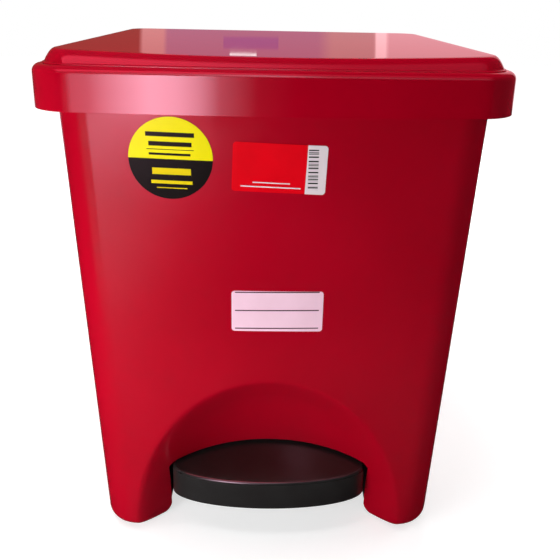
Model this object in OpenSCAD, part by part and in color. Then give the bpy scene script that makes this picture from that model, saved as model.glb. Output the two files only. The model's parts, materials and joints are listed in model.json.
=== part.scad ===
// Pedal bin with a lift-out bucket, a rear hinged lid and a rod that joins the pedal to the lid.
// The bin stands on z = 0 with its front towards -Y, and x = 0 is its middle plane.

/* [Body] */
// Outer width of the body at its rim
body_w = 333; // [320:1:340]
// Outer depth of the body at its rim
body_d = 323; // [314:1:330]
// Height of the rim above the floor
rim_z = 415; // [406:1:430]
// Gap between the floor and the lower edge of the body
floor_gap = 2; // [1:0.5:3]
// Lean of the side walls and the front wall, in degrees
wall_taper = 2.1; // [1.9:0.05:2.3]
// Lean of the rear wall, in degrees
rear_taper = 0.9; // [0.6:0.1:1.1]
// Wall thickness of the body
wall = 2.5; // [2:0.1:3]
// Plan radius of the upright corners
corner_r = 30; // [26:1:34]
// Forward bow of the front wall between its corners
front_bow = 9; // [6:0.5:11]
// Radius of the lower edge
foot_r = 10; // [7:0.5:11]

/* [Foot niche] */
// Full width of the oval hollow that forms the niche
niche_w = 256; // [248:1:262]
// Height of that hollow above the floor
niche_h = 171; // [164:1:177]
// Depth of that hollow behind its centre
niche_d = 101; // [98:1:104]
// Distance of its centre in front of the body's lowest front edge
niche_out = 38; // [36:0.5:41]
// Height of the slot that the pedal comes through
slot_h = 62.5; // [61.5:0.5:66]
// Width of that slot
slot_w = 184; // [182:1:188]

/* [Lid] */
// Overhang of the lid all round the body's rim
overhang = 13.5; // [12:0.5:15]
// Height of the lid's skirt
skirt_h = 32; // [30:0.5:34]
// Height of the skirt's ledge above the rim
ledge_up = 10; // [9:0.5:12]
// Wall thickness of the lid
lid_wall = 2.5; // [2:0.1:3]
// Plan radius of the lid's corners
lid_corner_r = 36; // [32:1:42]
// Radius of the skirt's upper edge
edge_r = 4; // [3:0.5:5]
// Width of the flat ledge inside that edge
ledge_w = 5; // [4:0.5:7]
// Height of the raised panel above the ledge, at the rear
panel_h = 14.5; // [13:0.5:16]
// Width of the slope up to the raised panel
slope_w = 8; // [6:0.5:10]
// Fall of the panel from its rear edge to its front corners
front_drop = 3.5; // [2.5:0.25:4.5]
// Further dip of the panel in the middle of its front edge
dish = 3.5; // [2:0.25:4.5]

/* [Bucket] */
// Height of the bucket's floor above the ground
bucket_z = 84; // [80:1:92]
// Wall thickness of the bucket
bucket_wall = 2.2; // [1.8:0.1:2.6]
// Gap between the bucket and the body's walls at the rim
bucket_gap = 6; // [5:0.5:8]
// Thickness of the bucket's hanging flange
flange_t = 3; // [2.5:0.25:4]
// Depth of the rod channel behind the bucket
channel_d = 29; // [27:0.5:32]

/* [Lid hinge and lift] */
// Distance of the hinge axis behind the body's rim
hinge_back = 7; // [6.75:0.25:7.5]
// Drop of the hinge axis below the skirt
hinge_drop = 8; // [7.5:0.25:10]
// Distance of each hinge from the middle
hinge_x = 92; // [70:1:110]
// Diameter of the hinge pins
pin_d = 4; // [3:0.25:5]
// Level distance from the hinge axis to the rod
crank = 22; // [21:0.25:23]
// Travel of the rod
rod_travel = 32; // [28:0.5:33]
// Diameter of the rod
rod_d = 5; // [4:0.25:5.5]

/* [Pedal] */
// Width of the pedal
pedal_w = 178; // [170:1:179]
// Height of the pedal's front wall
pedal_h = 28; // [25.5:0.5:29]
// Reach of the pedal in front of the body's lowest front edge
pedal_out = 1.5; // [0:0.5:4]
// Length of the pedal from front to back
pedal_l = 71; // [68:1:74]
// Sweep of the pedal's curved front edge
pedal_bow = 25; // [21:0.5:28]
// Gap between the pedal's top and the top of its slot
pedal_gap = 3; // [2:0.25:4]
// Position of the axle from front to back
axle_y = -22; // [-28:1:-16]
// Height of the axle above the floor
axle_z = 34; // [33:0.5:36]
// Diameter of the axle
axle_d = 6; // [5:0.25:7]

/* [Labels] */
// Diameter of the round sticker
sticker_d = 63; // [50:1:66]
// Width of the small label
label_w = 70.5; // [60:0.5:72]
// Height of the small label
label_h = 38; // [30:0.5:40]
// Width of the write-on panel
write_w = 73.5; // [60:0.5:90]
// Height of the write-on panel
write_h = 36; // [26:1:40]
// Corner radius of the label and the panel
label_r = 2.5; // [1:0.25:4]
// Tilt of the small label, in degrees
label_tilt = -2; // [-4:0.5:4]
// Thickness of the stickers
film = 0.3; // [0.2:0.05:0.5]

/* [Hidden] */

$fn = 48;
// Overlap that joins solids, and the same amount past a cut face
eps = 1;
// Segments of the front bow, of a corner and of the lower edge
bow_n = 10;
corner_n = 6;
foot_n = 3;
// Radial gap of a turning fit, of a seated fit and of a sliding fit
turn_gap = 0.1;
seat_gap = 0.05;
slide_gap = 0.3;

// Levels of the lid
skirt_z = rim_z + ledge_up - skirt_h;
ledge_z = rim_z + ledge_up;
top_z = ledge_z + panel_h;
lid_hw = body_w / 2 + overhang;
lid_front = -body_d / 2 - overhang;
lid_rear = body_d / 2 + overhang;

// Hinge and rod
hinge_y = body_d / 2 + hinge_back;
hinge_z = skirt_z - hinge_drop;
ear_r = overhang - hinge_back;
ear_t = 6;
knuckle_w = 14;
knuckle_gap = 0.5;
knuckle_r = ear_r - knuckle_gap;
pin_head_r = 3.6;
pin_head_t = 2;
rod_r = rod_d / 2;
rod_x = 11;
rod_y = hinge_y - crank;
bend_r = 6;
pin_end = -8;
web_t = 8;
upper_pin_z = hinge_z - rod_travel / 2;
lower_pin_z = axle_z - rod_travel / 2;
lid_open = 2 * atan(rod_travel / 2 / crank);

// Base plate, feet and bosses
base_z = floor_gap + 2;
base_t = 4;
base_top = base_z + base_t;
base_gap = 0.5;
boss_r = 5;
boss_h = 34;
rib_t = 3;
screw_r = 1.75;
screw_head_r = 3.4;
screw_head_t = 2;
screw_l = 18;
foot_pad_r = 8;
foot_plug_r = 3;
low_hw = body_w / 2 - (rim_z - floor_gap) * tan(wall_taper);
low_front = -body_d / 2 + (rim_z - floor_gap) * tan(wall_taper);
low_rear = body_d / 2 - (rim_z - floor_gap) * tan(rear_taper);
boss_in = [22, 56];
boss_in_rear = [28, 60];
foot_pad_in = [31, 33];
foot_pad_in_rear = [38, 36];
boss_spots = [
    [low_hw - boss_in.x, low_front + boss_in.y],
    [low_hw - boss_in_rear.x, low_rear - boss_in_rear.y]
];
foot_spots = [
    [low_hw - foot_pad_in.x, low_front + foot_pad_in.y],
    [low_hw - foot_pad_in_rear.x, low_rear - foot_pad_in_rear.y]
];

// Pedal and lever
niche_y = low_front - niche_out;
pedal_top = slot_h - pedal_gap;
pedal_front = low_front - pedal_out;
pedal_back = pedal_front + pedal_l;
pedal_wall = 3;
pedal_skin = 4;
pedal_edge = 3;
rear_arm = rod_y - axle_y;
rest_angle = atan(rod_travel / 2 / rear_arm);
arm_l = sqrt(rear_arm * rear_arm + rod_travel * rod_travel / 4);
lever_w = 60;
lever_t = 8;
hub_r = 10;
hub_w = 68;
cheek_x = 36;
cheek_t = 6;
cheek_foot = 1.6 * hub_r;
axle_end = 47;
clip_r = 7;
clip_t = 1.2;
pedal_screw_x = 20;
pedal_screw_y = (pedal_front + pedal_back) / 2;
tip_rim = 2.5;

// Bracket under the lid, buffers and guides
bracket_up = 6;
bracket_top = rim_z + bracket_up;
bracket_t = 3;
bracket_w = 36;
bracket_d = 24;
bracket_screw_x = 11;
bracket_rim = 5;
swing_gap = 0.8;
slot_r = rod_r + slide_gap + swing_gap;
crank_l = sqrt(crank * crank + rod_travel * rod_travel / 4);
cap_l = 4;
cap_rim = 3;
bumper_x = (body_w - wall - bucket_gap - bucket_wall) / 2;
bumper_y = 70;
bumper_spots = [[bumper_x, -bumper_y], [bumper_x, bumper_y]];
bumper_r = 4.5;
bumper_up = 8;
bumper_z = rim_z + bumper_up;
bumper_plug = 5;
guide_up = 21;
guide_down = 66;
guide_zs = [bucket_z + guide_up, hinge_z - guide_down];
guide_h = 20;
guide_w = 36;
guide_screw_x = 12;
guide_front = 7;

// Places of the stickers on the front: middle across, and drop of the middle below the rim
sticker_x = -77;
sticker_drop = 57;
label_x = 4;
label_drop = 63;
write_x = 4.5;
write_drop = 182.5;
film_gap = 0.05;
sticker_at = [sticker_x, rim_z - sticker_drop];
label_at = [label_x, rim_z - label_drop];
write_at = [write_x, rim_z - write_drop];

// Plan outline with upright corners and a bowed front: half width, front, rear, corner radius and bow.
function plan(hw, yf, yr, r, bow) =
    let (big = (hw * hw + bow * bow) / (2 * bow),
         cx = hw - r,
         cy = yf + big - sqrt(pow(big - r, 2) - cx * cx),
         sweep = asin(cx / (big - r)))
    concat(
        [for (i = [0:bow_n]) let (t = sweep * (2 * i / bow_n - 1)) [big * sin(t), yf + big - big * cos(t)]],
        [for (i = [1:corner_n]) let (t = (sweep - 90) * (1 - i / corner_n)) [cx + r * cos(t), cy + r * sin(t)]],
        [for (i = [0:corner_n]) let (t = 90 * i / corner_n) [cx + r * cos(t), yr - r + r * sin(t)]],
        [for (i = [0:corner_n]) let (t = 90 + 90 * i / corner_n) [-cx + r * cos(t), yr - r + r * sin(t)]],
        [for (i = [0:corner_n - 1]) let (t = 180 + (90 - sweep) * i / corner_n) [-cx + r * cos(t), cy + r * sin(t)]]
    );

// An outline raised to a level.
function lift(outline, z) = [for (p = outline) [p.x, p.y, z]];

// Lean of the walls below the rim, and the rounding of the lower edge, at a height.
function lean(z) = (rim_z - z) * tan(wall_taper);
function rear_at(z) = body_d / 2 - (rim_z - z) * tan(rear_taper);
function foot_in(z) =
    let (h = z - floor_gap)
    h >= foot_r ? 0 : foot_r - sqrt(foot_r * foot_r - pow(foot_r - h, 2));

// Outline of the body at a height, grown outwards by an amount.
function body_plan(z, grow = 0) =
    let (e = grow - foot_in(z))
    plan(body_w / 2 - lean(z) + e, -body_d / 2 + lean(z) - e, rear_at(z) + e, corner_r + e, front_bow);

// Heights of the body's rings, from the rounded lower edge to the rim.
body_levels = concat(
    [for (i = [0:foot_n]) floor_gap + foot_r * (1 - cos(90 * i / foot_n))],
    [rim_z]
);

// Outline of the lid at an inset from its skirt.
function lid_plan(inset) =
    plan(lid_hw - inset, lid_front + inset, lid_rear - inset, lid_corner_r - inset, front_bow);

// Outline of the niche at a height: an ellipse that shrinks to the top of the arch.
niche_n = 36;
niche_rows = 12;
niche_start = -3;
niche_stop = 86;
function niche_ring(t, grow) =
    [for (i = [0:niche_n - 1])
        let (a = 360 * i / niche_n)
        [(niche_w / 2 + grow) * cos(t) * cos(a),
         niche_y + (niche_d + grow) * cos(t) * sin(a),
         (niche_h + grow) * sin(t)]];

// Sizes of the bucket at its floor and at its rim: half width, front, rear, corner radius and bow.
bucket_rim = [
    body_w / 2 - wall - bucket_gap,
    -body_d / 2 + wall + bucket_gap,
    body_d / 2 - wall - channel_d,
    corner_r,
    front_bow
];
bucket_side_lean = 20;
bucket_rear_lean = 5;
bucket_low = [
    bucket_rim[0] - bucket_side_lean,
    niche_y + niche_d - wall,
    bucket_rim[2] - bucket_rear_lean,
    corner_r,
    front_bow / 2
];
bucket_foot = 8;
bucket_top = rim_z + flange_t;

// Outline of the bucket at a height, moved inwards by an amount.
function bucket_plan(z, inset) =
    let (f = (z - bucket_z) / (bucket_top - bucket_z),
         s = bucket_low + (bucket_rim - bucket_low) * f)
    plan(s[0] - inset, s[1] + inset, s[2] - inset, s[3] - inset, s[4]);

// Solid through a stack of outlines that have the same number of points.
module skin(rings) {
    m = len(rings[0]);
    n = len(rings);
    polyhedron(
        points = [for (r = rings) each r],
        faces = concat(
            [[for (i = [0:m - 1]) i]],
            [[for (i = [m - 1:-1:0]) (n - 1) * m + i]],
            [for (k = [0:n - 2], i = [0:m - 1])
                let (j = (i + 1) % m, a = k * m, b = a + m)
                each [[a + i, b + i, b + j], [a + i, b + j, a + j]]]
        )
    );
}

// Shape drawn in the YZ plane and given a thickness along X, about the middle plane.
module along_x(t) {
    rotate([90, 0, 90]) linear_extrude(height = t, center = true) children();
}

// Rod along X, from one x to another.
module x_rod(r, x0, x1) {
    translate([x0, 0, 0]) rotate([0, 90, 0]) cylinder(r = r, h = x1 - x0);
}

// The same child at a list of spots on both sides of the middle plane.
module both_sides(spots) {
    for (s = spots, side = [-1, 1]) translate([side * s.x, s.y, 0]) children();
}

// Body solid, without its hollow.
module body_solid() {
    skin([for (z = body_levels) lift(body_plan(z), z)]);
}

// Niche for the foot, grown by an amount.
module niche(grow) {
    skin([for (k = [0:niche_rows])
        niche_ring(niche_start + (niche_stop - niche_start) * k / niche_rows, grow)]);
}

// Hollow of the body, which leaves a wall round the niche.
module body_hollow() {
    difference() {
        skin(concat(
            [lift(body_plan(floor_gap, -wall), floor_gap - eps)],
            [for (z = body_levels) lift(body_plan(z, -wall), z)],
            [lift(body_plan(rim_z, -wall), rim_z + eps)]
        ));
        niche(wall);
    }
}

// Pair of ears for one hinge, at the rear of the body.
module hinge_ears(x) {
    inner = rear_at(hinge_z - ear_r) - wall / 2;
    for (side = [-1, 1]) {
        translate([x + side * (knuckle_w / 2 + knuckle_gap + ear_t / 2), 0, 0]) {
            translate([-ear_t / 2, inner, hinge_z - ear_r]) cube([ear_t, hinge_y - inner, 2 * ear_r]);
            translate([0, hinge_y, hinge_z]) x_rod(ear_r, -ear_t / 2, ear_t / 2);
        }
    }
}

// Screw bosses that carry the base plate, each with a rib to the side wall.
module body_bosses() {
    both_sides(boss_spots) translate([0, 0, base_top]) cylinder(r = boss_r, h = boss_h);
    for (s = boss_spots, side = [0, 1]) {
        mirror([side, 0, 0]) translate([s.x, s.y - rib_t / 2, base_top + foot_r / 2])
            cube([body_w / 2 - lean(base_top + foot_r / 2) - wall / 2 - s.x, rib_t, boss_h - foot_r / 2]);
    }
}

module outer_body() {
    color("firebrick") difference() {
        union() {
            difference() {
                body_solid();
                body_hollow();
            }
            for (side = [-1, 1]) hinge_ears(side * hinge_x);
            body_bosses();
        }
        niche(0);
        translate([-slot_w / 2, niche_y, -eps]) cube([slot_w, niche_d + wall + foot_r, slot_h + eps]);
        translate([-bracket_w / 2 + eps, rear_at(hinge_z) - 2 * wall, hinge_z + ear_r / 2])
            cube([bracket_w - 2 * eps, 4 * wall, rim_z]);
        for (side = [-1, 1]) translate([side * hinge_x, hinge_y, hinge_z])
            x_rod(pin_d / 2 + seat_gap, -knuckle_w, knuckle_w);
        both_sides(boss_spots) translate([0, 0, base_top - eps])
            cylinder(r = screw_r + seat_gap, h = screw_l);
        for (z = guide_zs) guide_screw_spots(z) guide_screw_hole();
    }
}

// The two screw places of a rod guide on the rear wall, each with its z axis into the wall.
module guide_screw_spots(z) {
    for (side = [-1, 1]) translate([rod_x + side * guide_screw_x, rear_at(z), z])
        rotate([90 - rear_taper, 0, 0]) children();
}

// Hole for one of those screws.
module guide_screw_hole() {
    translate([0, 0, -eps]) cylinder(r = screw_r + seat_gap, h = wall + guide_front + 2 * eps);
}

// Tray that closes the underside and carries the axle in two cheeks.
module base_plate() {
    color("dimgray") difference() {
        union() {
            translate([0, 0, base_z]) linear_extrude(height = base_t)
                polygon(body_plan(floor_gap, -wall - base_gap));
            for (side = [-1, 1]) translate([side * (cheek_x + cheek_t / 2), axle_y, 0]) axle_cheek();
        }
        translate([-slot_w / 2 - wall, niche_y, 0])
            cube([slot_w + 2 * wall, pedal_back + eps - niche_y, base_top + eps]);
        linear_extrude(height = base_top + eps) polygon([for (p = niche_ring(0, wall + base_gap)) [p.x, p.y]]);
        translate([0, axle_y, axle_z]) x_rod(axle_d / 2 + seat_gap, -axle_end, axle_end);
        both_sides(boss_spots) {
            cylinder(r = screw_r + 2 * turn_gap, h = base_top + eps);
            cylinder(r = screw_head_r + slide_gap, h = base_z + screw_head_t);
        }
        both_sides(foot_spots) cylinder(r = foot_plug_r + seat_gap, h = base_top + eps);
    }
}

// Upright cheek with a round top, centred on the axle.
module axle_cheek() {
    translate([0, 0, axle_z]) x_rod(hub_r, -cheek_t / 2, cheek_t / 2);
    along_x(cheek_t) polygon([
        [-hub_r, axle_z],
        [-cheek_foot, base_top - eps],
        [cheek_foot, base_top - eps],
        [hub_r, axle_z]
    ]);
}

module base_screws() {
    color("silver") both_sides(boss_spots) translate([0, 0, base_z + screw_head_t]) screw();
}

// Pan head screw that points up, with the underside of its head at z = 0 and a cross recess.
module screw(shank = screw_l - 2 * eps - screw_head_t) {
    difference() {
        union() {
            translate([0, 0, -screw_head_t]) cylinder(r = screw_head_r, h = screw_head_t);
            cylinder(r = screw_r, h = shank);
        }
        for (turn = [0, 90]) rotate([0, 0, turn]) translate([0, 0, -screw_head_t])
            cube([screw_head_r * 1.2, screw_head_r / 4, screw_head_t], center = true);
    }
}

module rubber_feet() {
    color("black") both_sides(foot_spots) {
        cylinder(r = foot_pad_r, h = base_z);
        cylinder(r = foot_plug_r, h = base_top + eps / 2);
    }
}

// Lift-out bucket that hangs from the rim by a flange, which also roofs the rod channel.
module inner_bucket() {
    color("lightgray") difference() {
        union() {
            skin([
                lift(bucket_plan(bucket_z, bucket_foot), bucket_z),
                lift(bucket_plan(bucket_z + bucket_foot / 4, bucket_foot / 4), bucket_z + bucket_foot / 4),
                lift(bucket_plan(bucket_z + bucket_foot, 0), bucket_z + bucket_foot),
                lift(bucket_plan(bucket_top, 0), bucket_top)
            ]);
            translate([0, 0, rim_z]) linear_extrude(height = flange_t) polygon(body_plan(rim_z, -base_gap));
        }
        skin([
            lift(bucket_plan(bucket_z + bucket_wall, bucket_foot + bucket_wall), bucket_z + bucket_wall),
            lift(bucket_plan(bucket_z + bucket_foot, bucket_wall), bucket_z + bucket_foot),
            lift(bucket_plan(bucket_top, bucket_wall), bucket_top + eps)
        ]);
        translate([-bracket_w / 2 - eps, bucket_rim[2] + eps, rim_z - eps])
            cube([bracket_w + 2 * eps, channel_d + 2 * wall, flange_t + 2 * eps]);
    }
}

// Height of the raised panel at a spot: level at the rear, lower at the front and lowest in its middle.
function panel_level(p) =
    let (back = (lid_rear - p.y) / (2 * lid_rear), f = p.x / lid_hw)
    top_z - back * (front_drop + dish * (1 - f * f));

// Ring of the lid at an inset: its level, and the share of the panel's rise that is added to it.
function lid_ring(inset, z, share) =
    [for (p = lid_plan(inset)) [p.x, p.y, z + share * (panel_level(p) - ledge_z)]];

// Rings that fill the panel: the outline at an inset, shrunk to a small flat one.
panel_shrink = [0.6, 0.25];
panel_core = 0.05;
function panel_rings(inset, down) = concat(
    [for (k = panel_shrink) [for (p = k * lid_plan(inset)) [p.x, p.y, panel_level(p) - down]]],
    [lift(panel_core * lid_plan(inset), panel_level([0, 0]) - down)]
);

// Outer and inner surfaces of the lid from the skirt up, as insets, levels and shares of the rise.
slope_in = edge_r + ledge_w;
lid_outer = concat(
    [[0, skirt_z, 0]],
    [for (t = [0:30:90]) [edge_r * (1 - cos(t)), ledge_z - edge_r * (1 - sin(t)), 0]],
    [for (f = [[0, 0], [0.5, 0.7], [0.7, 0.9], [1, 1]]) [slope_in + slope_w * f[0], ledge_z, f[1]]]
);
lid_inner = [
    [lid_wall, skirt_z - eps, 0],
    [lid_wall, ledge_z - edge_r, 0],
    [edge_r, ledge_z - lid_wall, 0],
    [slope_in + lid_wall / 2, ledge_z - lid_wall, 0],
    [slope_in + lid_wall / 2 + slope_w * 0.6, ledge_z - lid_wall / 2, 0.7],
    [slope_in + lid_wall / 2 + slope_w, ledge_z - lid_wall, 1]
];

// Solid through the rings of one surface of the lid, moved down under the panel by an amount.
module lid_shape(rings, down) {
    inset = rings[len(rings) - 1][0];
    skin(concat([for (r = rings) lid_ring(r[0], r[1], r[2])], panel_rings(inset, down)));
}

// Round boss under the panel, from a level up into the panel's thickness.
module lid_boss(x, y, z, r) {
    translate([x, y, z]) cylinder(r = r, h = panel_level([x, y]) - 0.8 * lid_wall - z);
}

// Knuckle of one hinge, with the arm that joins it to the skirt.
module lid_knuckle(x) {
    translate([x, 0, 0]) {
        translate([0, hinge_y, hinge_z]) x_rod(knuckle_r, -knuckle_w / 2, knuckle_w / 2);
        translate([-knuckle_w / 2, hinge_y - knuckle_r / 3, hinge_z])
            cube([knuckle_w, lid_rear - hinge_y + knuckle_r / 3, hinge_drop + edge_r]);
    }
}

module lid() {
    color("firebrick") difference() {
        union() {
            difference() {
                lid_shape(lid_outer, 0);
                lid_shape(lid_inner, lid_wall);
            }
            for (side = [-1, 1]) {
                lid_boss(side * bracket_screw_x, rod_y, bracket_top, boss_r);
                for (s = bumper_spots) lid_boss(side * s.x, s.y, bumper_z, bumper_r);
                lid_knuckle(side * hinge_x);
            }
        }
        for (side = [-1, 1]) {
            translate([side * hinge_x, hinge_y, hinge_z]) x_rod(pin_d / 2 + turn_gap, -knuckle_w, knuckle_w);
            translate([side * bracket_screw_x, rod_y, bracket_top - eps])
                cylinder(r = screw_r + seat_gap, h = panel_h - lid_wall);
        }
        both_sides(bumper_spots) translate([0, 0, bumper_z - eps])
            cylinder(r = bumper_r / 2 + seat_gap, h = bumper_plug + 2 * eps);
    }
}

// Rubber buffers that meet the bucket's flange when the lid is shut.
module lid_bumpers() {
    color("black") both_sides(bumper_spots) {
        translate([0, 0, bucket_top + slide_gap]) cylinder(r = bumper_r, h = bumper_z - bucket_top - slide_gap);
        translate([0, 0, bumper_z - eps]) cylinder(r = bumper_r / 2, h = bumper_plug + eps);
    }
}

// Slot for the rod's pin: a radial slot that also takes the difference between a swing and a straight lift.
module crank_slot() {
    translate([0, hinge_y, hinge_z]) rotate([lid_open / 2, 0, 0]) {
        for (d = [crank, crank_l]) translate([0, -d, 0]) x_rod(slot_r, -web_t, web_t);
        translate([-web_t, -crank_l, -slot_r]) cube([2 * web_t, crank_l - crank, 2 * slot_r]);
    }
}

// Bracket under the lid whose slotted web hangs inside the rear wall.
module lift_bracket() {
    web_l = bracket_top - upper_pin_z;
    color("white") difference() {
        union() {
            translate([-bracket_w / 2, rod_y - bracket_d / 2, bracket_top - bracket_t])
                cube([bracket_w, bracket_d, bracket_t]);
            along_x(web_t) polygon([
                [rod_y - bracket_d / 3, bracket_top - eps],
                [rod_y - slot_r - bracket_rim, bracket_top - web_l],
                [rod_y + slot_r + bracket_rim, bracket_top - web_l],
                [rod_y + bracket_d / 3, bracket_top - eps]
            ]);
            translate([0, rod_y, upper_pin_z]) x_rod(slot_r + bracket_rim, -web_t / 2, web_t / 2);
        }
        crank_slot();
        for (side = [-1, 1]) translate([side * bracket_screw_x, rod_y, bracket_top - bracket_t - eps])
            cylinder(r = screw_r + 2 * turn_gap, h = bracket_t + 2 * eps);
    }
}

module bracket_screws() {
    color("silver") for (side = [-1, 1])
        translate([side * bracket_screw_x, rod_y, bracket_top - bracket_t]) screw(bracket_t + panel_h / 2);
}

// Headed pin of one hinge, with its head on the outer side.
module hinge_pin(side) {
    reach = knuckle_w / 2 + knuckle_gap + ear_t;
    mirror([side < 0 ? 1 : 0, 0, 0]) translate([hinge_x, hinge_y, hinge_z]) {
        x_rod(pin_d / 2, -reach - eps, reach);
        x_rod(pin_head_r, reach, reach + pin_head_t);
    }
}

module hinge_pin_left() {
    color("silver") hinge_pin(-1);
}

module hinge_pin_right() {
    color("silver") hinge_pin(1);
}

// Bent steel rod: an upright with a level pin at each end.
module push_rod() {
    color("silver") {
        translate([rod_x, rod_y, lower_pin_z + bend_r])
            cylinder(r = rod_r, h = upper_pin_z - lower_pin_z - 2 * bend_r);
        translate([rod_x - bend_r, rod_y, lower_pin_z + bend_r]) rotate([90, 0, 0]) rotate([0, 0, -90]) rod_bend();
        translate([rod_x - bend_r, rod_y, upper_pin_z - bend_r]) rotate([90, 0, 0]) rod_bend();
        for (z = [lower_pin_z, upper_pin_z]) translate([0, rod_y, z]) x_rod(rod_r, pin_end, rod_x - bend_r);
    }
}

// Quarter turn of the rod.
module rod_bend() {
    rotate_extrude(angle = 90) translate([bend_r, 0]) circle(r = rod_r);
}

// Cap pushed on the end of a pin.
module rod_cap(z) {
    color("black") translate([0, rod_y, z]) difference() {
        x_rod(rod_r + cap_rim, pin_end - eps, pin_end - eps + cap_l);
        x_rod(rod_r + seat_gap, pin_end, pin_end + cap_l);
    }
}

module rod_cap_upper() {
    rod_cap(upper_pin_z);
}

module rod_cap_lower() {
    rod_cap(lower_pin_z);
}

// Guide block for the rod, with its back face on the rear wall.
module rod_guide(z) {
    z0 = z - guide_h / 2;
    z1 = z + guide_h / 2;
    color("white") difference() {
        translate([rod_x, 0, 0]) along_x(guide_w) polygon([
            [rod_y - guide_front, z0],
            [rear_at(z0) - wall, z0],
            [rear_at(z1) - wall, z1],
            [rod_y - guide_front, z1]
        ]);
        translate([rod_x, rod_y, z0 - eps]) cylinder(r = rod_r + slide_gap, h = guide_h + 2 * eps);
        guide_screw_spots(z) guide_screw_hole();
    }
}

module rod_guide_upper() {
    rod_guide(guide_zs[1]);
}

module rod_guide_lower() {
    rod_guide(guide_zs[0]);
}

module guide_screws() {
    color("silver") for (z = guide_zs) guide_screw_spots(z) screw(wall + guide_front - eps);
}

// Plan outline of the pedal, moved inwards by an amount: half an ellipse with a straight rear edge.
pedal_n = 20;
function pedal_plan(inset, rear) =
    let (hw = pedal_w / 2 - inset)
    concat(
        [for (i = [0:pedal_n])
            let (t = 180 * (1 - i / pedal_n))
            [hw * cos(t), pedal_front + pedal_bow - (pedal_bow - inset) * sin(t)]],
        [[hw, rear], [-hw, rear]]
    );

// Oval fronted pedal, a shell that is open below and behind.
module pedal_pad() {
    low = pedal_top - pedal_h;
    color("black") difference() {
        skin([
            lift(pedal_plan(0, pedal_back), low),
            lift(pedal_plan(0, pedal_back), pedal_top - pedal_edge),
            lift(pedal_plan(pedal_edge * 0.3, pedal_back), pedal_top - pedal_edge * 0.3),
            lift(pedal_plan(pedal_edge, pedal_back), pedal_top)
        ]);
        translate([0, 0, low - eps]) linear_extrude(height = pedal_h - pedal_skin + eps)
            polygon(pedal_plan(pedal_wall, pedal_back + eps));
        for (side = [-1, 1]) translate([side * pedal_screw_x, pedal_screw_y, low])
            cylinder(r = screw_r + seat_gap, h = pedal_h - pedal_skin / 3);
    }
}

// Lever: a plate under the pedal, a hub on the axle and an arm to the rod.
module pedal_lever() {
    under = pedal_top - pedal_skin;
    plate_front = pedal_front + pedal_wall + lever_t;
    color("dimgray") difference() {
        union() {
            along_x(lever_w) polygon([
                [axle_y, axle_z - lever_t],
                [axle_y, axle_z + lever_t],
                [pedal_back, under],
                [plate_front, under],
                [plate_front, under - lever_t],
                [pedal_back, under - lever_t]
            ]);
            translate([0, axle_y, axle_z]) x_rod(hub_r, -hub_w / 2, hub_w / 2);
            translate([0, axle_y, axle_z]) rotate([-rest_angle, 0, 0]) lever_arm();
        }
        translate([0, axle_y, axle_z]) x_rod(axle_d / 2 + turn_gap, -hub_w, hub_w);
        for (side = [-1, 1]) translate([side * pedal_screw_x, pedal_screw_y, 0])
            cylinder(r = screw_r + 2 * turn_gap, h = pedal_top);
    }
}

// Rear arm of the lever along its own axis, with the slot for the rod's lower pin.
module lever_arm() {
    hole_r = rod_r + slide_gap;
    tip_r = hole_r + tip_rim;
    difference() {
        union() {
            along_x(web_t) polygon([[0, -hub_r + eps], [0, hub_r - eps], [arm_l, tip_r], [arm_l, -tip_r]]);
            translate([0, arm_l, 0]) x_rod(tip_r, -web_t / 2, web_t / 2);
        }
        for (d = [rear_arm, arm_l]) translate([0, d, 0]) x_rod(hole_r, -web_t, web_t);
        translate([-web_t, rear_arm, -hole_r]) cube([2 * web_t, arm_l - rear_arm, 2 * hole_r]);
    }
}

module pedal_screws() {
    head_z = pedal_top - pedal_skin - lever_t;
    color("silver") for (side = [-1, 1])
        translate([side * pedal_screw_x, pedal_screw_y, head_z]) screw(lever_t + pedal_skin / 2);
}

module pedal_axle() {
    color("silver") translate([0, axle_y, axle_z]) x_rod(axle_d / 2, -axle_end, axle_end);
}

// Push-on washers that keep the axle in its cheeks.
module axle_clips() {
    color("gray") for (side = [0, 1]) mirror([side, 0, 0]) translate([0, axle_y, axle_z]) difference() {
        x_rod(clip_r, cheek_x + cheek_t, cheek_x + cheek_t + clip_t);
        x_rod(axle_d / 2 + seat_gap, cheek_x, axle_end);
    }
}

// Layer of film on the front wall between two heights.
module front_film(z0, z1) {
    difference() {
        skin([for (z = [z0, z1]) lift(body_plan(z, film_gap + film), z)]);
        skin([for (z = [z0 - eps, z1 + eps]) lift(body_plan(z, film_gap), z)]);
    }
}

module round_sticker() {
    r = sticker_d / 2;
    color("gold") intersection() {
        front_film(sticker_at.y - r - eps, sticker_at.y + r + eps);
        translate([sticker_at.x, -body_d / 4, sticker_at.y]) rotate([90, 0, 0]) cylinder(r = r, h = body_d);
    }
}

module small_label() {
    color("red") flat_label(label_at, label_w, label_h, label_tilt);
}

module write_on_panel() {
    color("white") flat_label(write_at, write_w, write_h, 0);
}

// Rectangular film with round corners on the front wall, turned by an angle.
module flat_label(at, w, h, tilt) {
    half = h / 2 + w * sin(abs(tilt)) + eps;
    intersection() {
        front_film(at.y - half, at.y + half);
        translate([at.x, -body_d / 4, at.y]) rotate([90, tilt, 0])
            linear_extrude(height = body_d) rounded(w, h, label_r);
    }
}

// Rectangle with round corners, about its middle.
module rounded(w, h, r) {
    square([w - 2 * r, h], center = true);
    square([w, h - 2 * r], center = true);
    for (x = [-1, 1], y = [-1, 1]) translate([x * (w / 2 - r), y * (h / 2 - r)]) circle(r = r);
}

outer_body();
base_plate();
base_screws();
rubber_feet();
inner_bucket();
lid();
lid_bumpers();
lift_bracket();
bracket_screws();
hinge_pin_left();
hinge_pin_right();
push_rod();
rod_cap_upper();
rod_cap_lower();
rod_guide_upper();
rod_guide_lower();
guide_screws();
pedal_pad();
pedal_lever();
pedal_screws();
pedal_axle();
axle_clips();
round_sticker();
small_label();
write_on_panel();
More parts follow.
